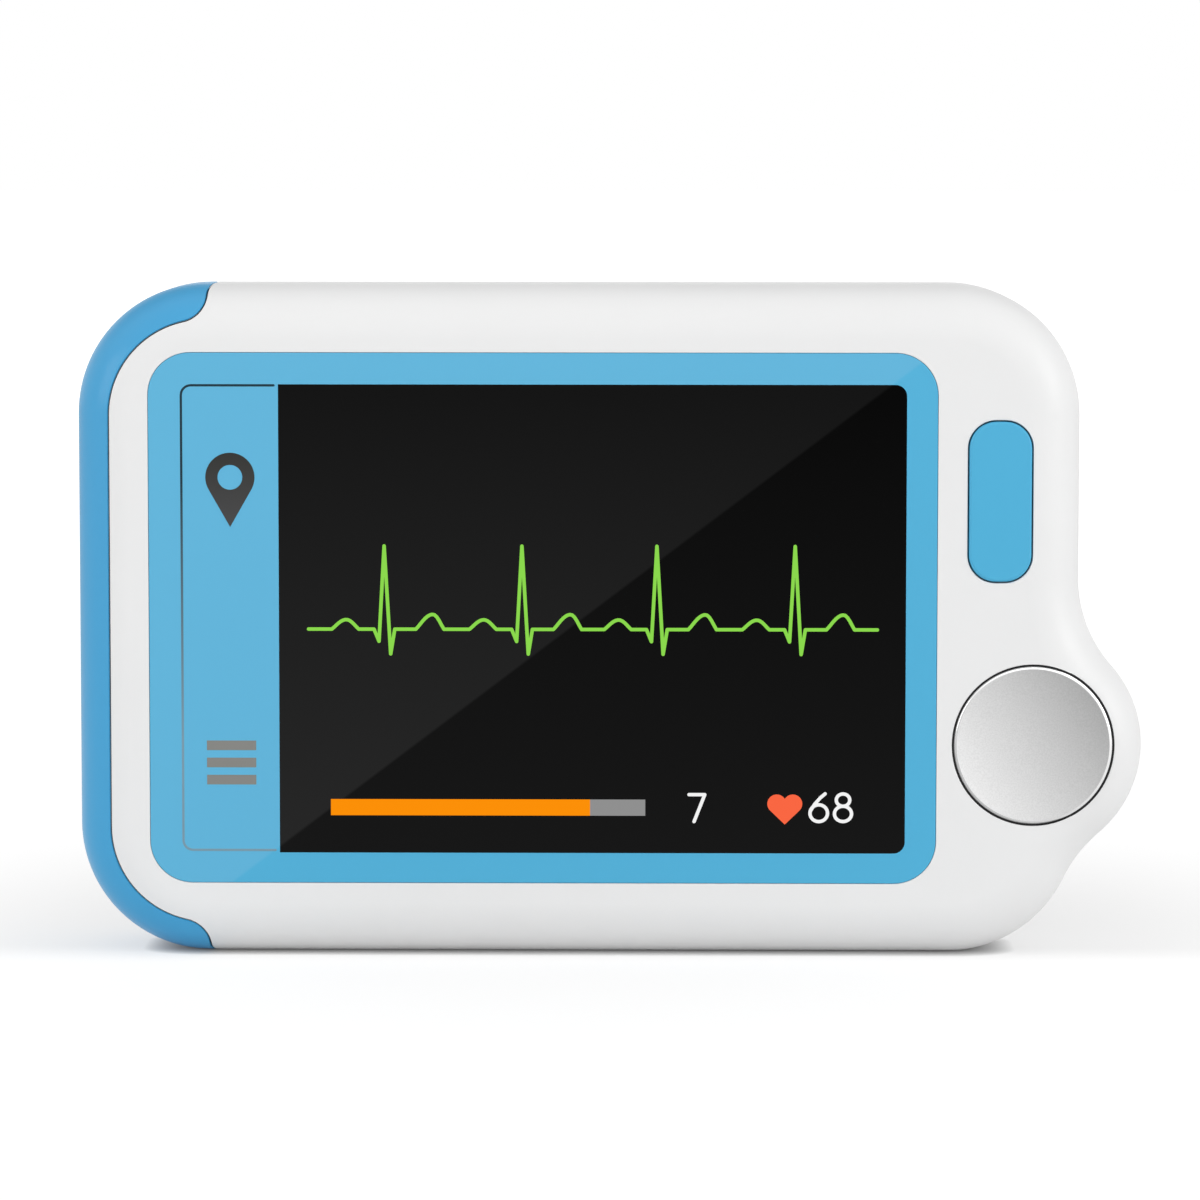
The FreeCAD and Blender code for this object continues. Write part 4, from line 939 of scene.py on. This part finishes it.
one = add(tree, "JoinGeometry", Geometry=[cut_head, low])
many = add(tree, "InstanceOnPoints", Points=given["Geometry"], Instance=one,
           Rotation=(math.radians(-90), 0, 0))
close_tree(tree, many, given["Material"])
HEAD_HEIGHT = 1.1
heads = [(x, WELL_FLOOR + HEAD_HEIGHT / 2, z) for x, z in SCREWS]
screws = grow_by_tree("screws", tree, screw_steel, heads, Head_radius=1.8, Head_height=HEAD_HEIGHT,
                      Shank_radius=0.95, Shank_length=7.2)
finish(screws, screw_steel, replaces=["case_screws"])

# %% [markdown]
# ## What is inside
# The board, the display, the battery and their small parts keep the part's own solids, which are the right
# shape, and get finishes of the real stuff. They are seen through the charging socket and the sound slots.

# %% Finishes of the inner parts
# Each row is a node, its material, colour and roughness.
INNER = """
window_adhesive acrylic_tape #2B2B2D 0.7
display_tape foam_tape #303032 0.8
battery_pad foam_pad #D8D8D2 0.8
lcd_gasket foam_gasket #2A2A2C 0.85
touch_key_film polyimide_film #B9742A 0.3
lcd_flex polyimide_ribbon #B06F2C 0.3
touch_connector nylon_socket #E4E0D2 0.5
flex_connector nylon_socket_wide #E4E0D2 0.5
battery_connector nylon_plug #EDEBE2 0.5
switch_body switch_nylon #2A2A2C 0.5
light_guide light_guide_acrylic #E9EDEE 0.15
lcd_glass cell_glass #15181A 0.08
lcd_driver_chip silicon_chip #4A4D55 0.25
board_chips epoxy_package #1E1F21 0.55
main_board solder_mask_on_glass_epoxy #1F6B45 0.35
buzzer black_pbt #1C1C1E 0.5
switch_plunger white_acetal #EDECE6 0.4
battery_leads red_silicone_rubber #B32020 0.55
"""
METAL = """
lcd_frame stamped_steel #BFC2C4 0.35
radio_shield tinned_steel #C9CBCC 0.3
board_screws small_screw_steel #AFB1B3 0.3
usb_socket nickel_plated_steel #C6C7C6 0.25
electrode_washers spring_steel #A9ABAD 0.35
front_contact_pin gold_plated_brass #E0B65A 0.2
rear_contact_pin gold_plated_brass_long #E0B65A 0.2
left_contact_leaf gold_plated_bronze #E0B65A 0.22
battery_cell aluminium_foil #C8CACC 0.3
"""
for rows, make, detail in ((INNER, moulded, {"grain": 0.2, "relief": 0.006, "tone": 0.05}),
                           (METAL, blasted_steel, {"speckle": 0.4})):
    for row in rows.strip().splitlines():
        node, name, code, roughness = row.split()
        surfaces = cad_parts[node].data.materials
        surfaces.clear()
        surfaces.append(make(name, code, float(roughness), **detail))
        print(node, name)

# %% [markdown]
# ## Floor, light and camera
# A pale floor runs on to a white world, under a broad soft lamp in front. The world is white where the
# camera, a gloss or clear stuff looks at it, and dimmer as a light, so that white plastic doesn't burn out.
# For gloss only, it is brighter above the front and darker above the back, which gives rounded edges a soft
# change of tone. The paper is white to the eye but gives back little light, which keeps the underside of the
# case darker than its face. It glows, with a soft shade under and behind the case, to meet the white behind
# it without a line, and for gloss its far side is dimmer.

# %% Floor
def product(tree, first, *others):
    """Values multiplied together."""
    for other in others:
        first = add(tree, "Math", operation="MULTIPLY", i0=first, i1=other)
    return first


def floor_finish():
    material, tree, place = new_material("white_paper_sweep")
    path = add(tree, "LightPath").outputs
    seen = add(tree, "Math", operation="MAXIMUM", i0=path["Is Camera Ray"], i1=path["Is Glossy Ray"])
    axes = add(tree, "SeparateXYZ", Vector=place).outputs
    far = add(tree, "VectorMath", operation="LENGTH", i0=place).outputs["Value"]
    side = add(tree, "Math", operation="ABSOLUTE", i0=axes["X"])
    steps = []
    for value, start, end, low, high in ((far, 0.08, 0.5, 0.75, 0.92), (axes["Y"], -0.012, 0.0, 0.0, 1.0),
                                         (side, 0.035, 0.085, 0.18, 0.0), (axes["Y"], 0.01, 0.1, 1.0, 0.0),
                                         (axes["Y"], 0.03, 0.3, 0.0, 0.5)):
        steps.append(add(tree, "MapRange", interpolation_type="SMOOTHSTEP", Value=value, From_Min=start,
                         From_Max=end, To_Min=low, To_Max=high))
    share, under, beside, fading, back = steps
    shade = product(tree, under, beside, fading)
    lit = add(tree, "Math", operation="SUBTRACT", i0=share, i1=shade)
    corner = add(tree, "AmbientOcclusion", samples=8, Distance=0.0016).outputs["AO"]
    near = add(tree, "MapRange", Value=corner, To_Min=0.1)
    dimmer = product(tree, back, path["Is Glossy Ray"])
    rest = add(tree, "Math", operation="SUBTRACT", i0=1.0, i1=dimmer)
    light = add(tree, "Emission", Color=(1, 1, 1, 1), Strength=product(tree, lit, seen, near, rest))
    tone = add(tree, "Mix", data_type="RGBA", i0=seen, i6=colour("#EAEAEA"), i7=colour("#FFFFFF", 0.35))
    paper = add(tree, "BsdfDiffuse", Color=tone)
    both = add(tree, "AddShader", i0=paper, i1=light)
    add(tree, "OutputMaterial", Surface=both)
    return material


REACH = 6                               # metres from the middle of the floor to its edge
floor = solid("floor", [(-REACH, -REACH, 0), (REACH, -REACH, 0), (REACH, REACH, 0), (-REACH, REACH, 0)],
              [(0, 1, 2, 3)])
floor.data.materials.append(floor_finish())

# %% World
world = bpy.data.worlds.new("studio")
bpy.context.scene.world = world
world.use_nodes = True
tree = world.node_tree
tree.nodes.clear()
path = add(tree, "LightPath").outputs
seen = path["Is Camera Ray"]
for other in ("Is Glossy Ray", "Is Transmission Ray"):
    seen = add(tree, "Math", operation="MAXIMUM", i0=seen, i1=path[other])
level = add(tree, "MapRange", Value=seen, To_Min=0.65, To_Max=1.0)
ways = add(tree, "SeparateXYZ", Vector=add(tree, "TexCoord").outputs["Generated"]).outputs
change = path["Is Glossy Ray"]
for axis, start, end, low, high in (("Y", -0.1, 0.6, 0.75, -0.7), ("Z", 0.15, 0.75, 0.0, 1.0)):
    slope = add(tree, "MapRange", interpolation_type="SMOOTHSTEP", Value=ways[axis], From_Min=start,
                From_Max=end, To_Min=low, To_Max=high)
    change = product(tree, change, slope)
level = add(tree, "Math", operation="ADD", i0=level, i1=change)
sky = add(tree, "Background", Color=(1, 1, 1, 1), Strength=level)
add(tree, "OutputWorld", Surface=sky)


# %% Lamps
def soft_lamp(name, place, size, power, in_gloss=True):
    """A square lamp aimed at the model. One that isn't in gloss lights matt surfaces only."""
    data = bpy.data.lights.new(name, "AREA")
    data.shape, data.size, data.energy = "SQUARE", size, power
    lamp = in_scene(name, data)
    lamp.location = place
    lamp.rotation_euler = (Vector(place) - Vector((0, 0, 0.03))).to_track_quat("Z", "Y").to_euler()
    lamp.visible_glossy = in_gloss


soft_lamp("key", (0.0, -2.0, 0.45), 1.0, 7.3, in_gloss=False)
soft_lamp("right", (1.2, -0.5, 0.4), 0.6, 4.3)
soft_lamp("left", (-1.2, -0.6, 0.4), 0.6, 2.6)
soft_lamp("behind", (0.0, 2.0, 0.6), 1.0, 5.0, in_gloss=False)

# %% Camera
def look_from(azimuth, elevation, roll, distance, aim, lens):
    a, e = math.radians(azimuth), math.radians(elevation)
    away = Vector((math.sin(a) * math.cos(e), -math.cos(a) * math.cos(e), math.sin(e)))
    data = bpy.data.cameras.new("camera")
    data.lens, data.sensor_width, data.clip_start = lens, 36, 0.01
    camera = in_scene("camera", data)
    camera.location = Vector(aim) * MM + away * distance * MM
    turn = away.to_track_quat("Z", "Y").to_matrix().to_4x4() @ Matrix.Rotation(math.radians(roll), 4, "Z")
    camera.rotation_euler = turn.to_euler()
    bpy.context.scene.camera = camera
    print("camera at", [round(v, 4) for v in camera.location])


look_from(azimuth=0.61, elevation=5.03, roll=0.037, distance=492.6, aim=(-0.94, FRONT, 33.12), lens=160.95)

# %% View settings
bpy.context.scene.view_settings.view_transform = "Standard"
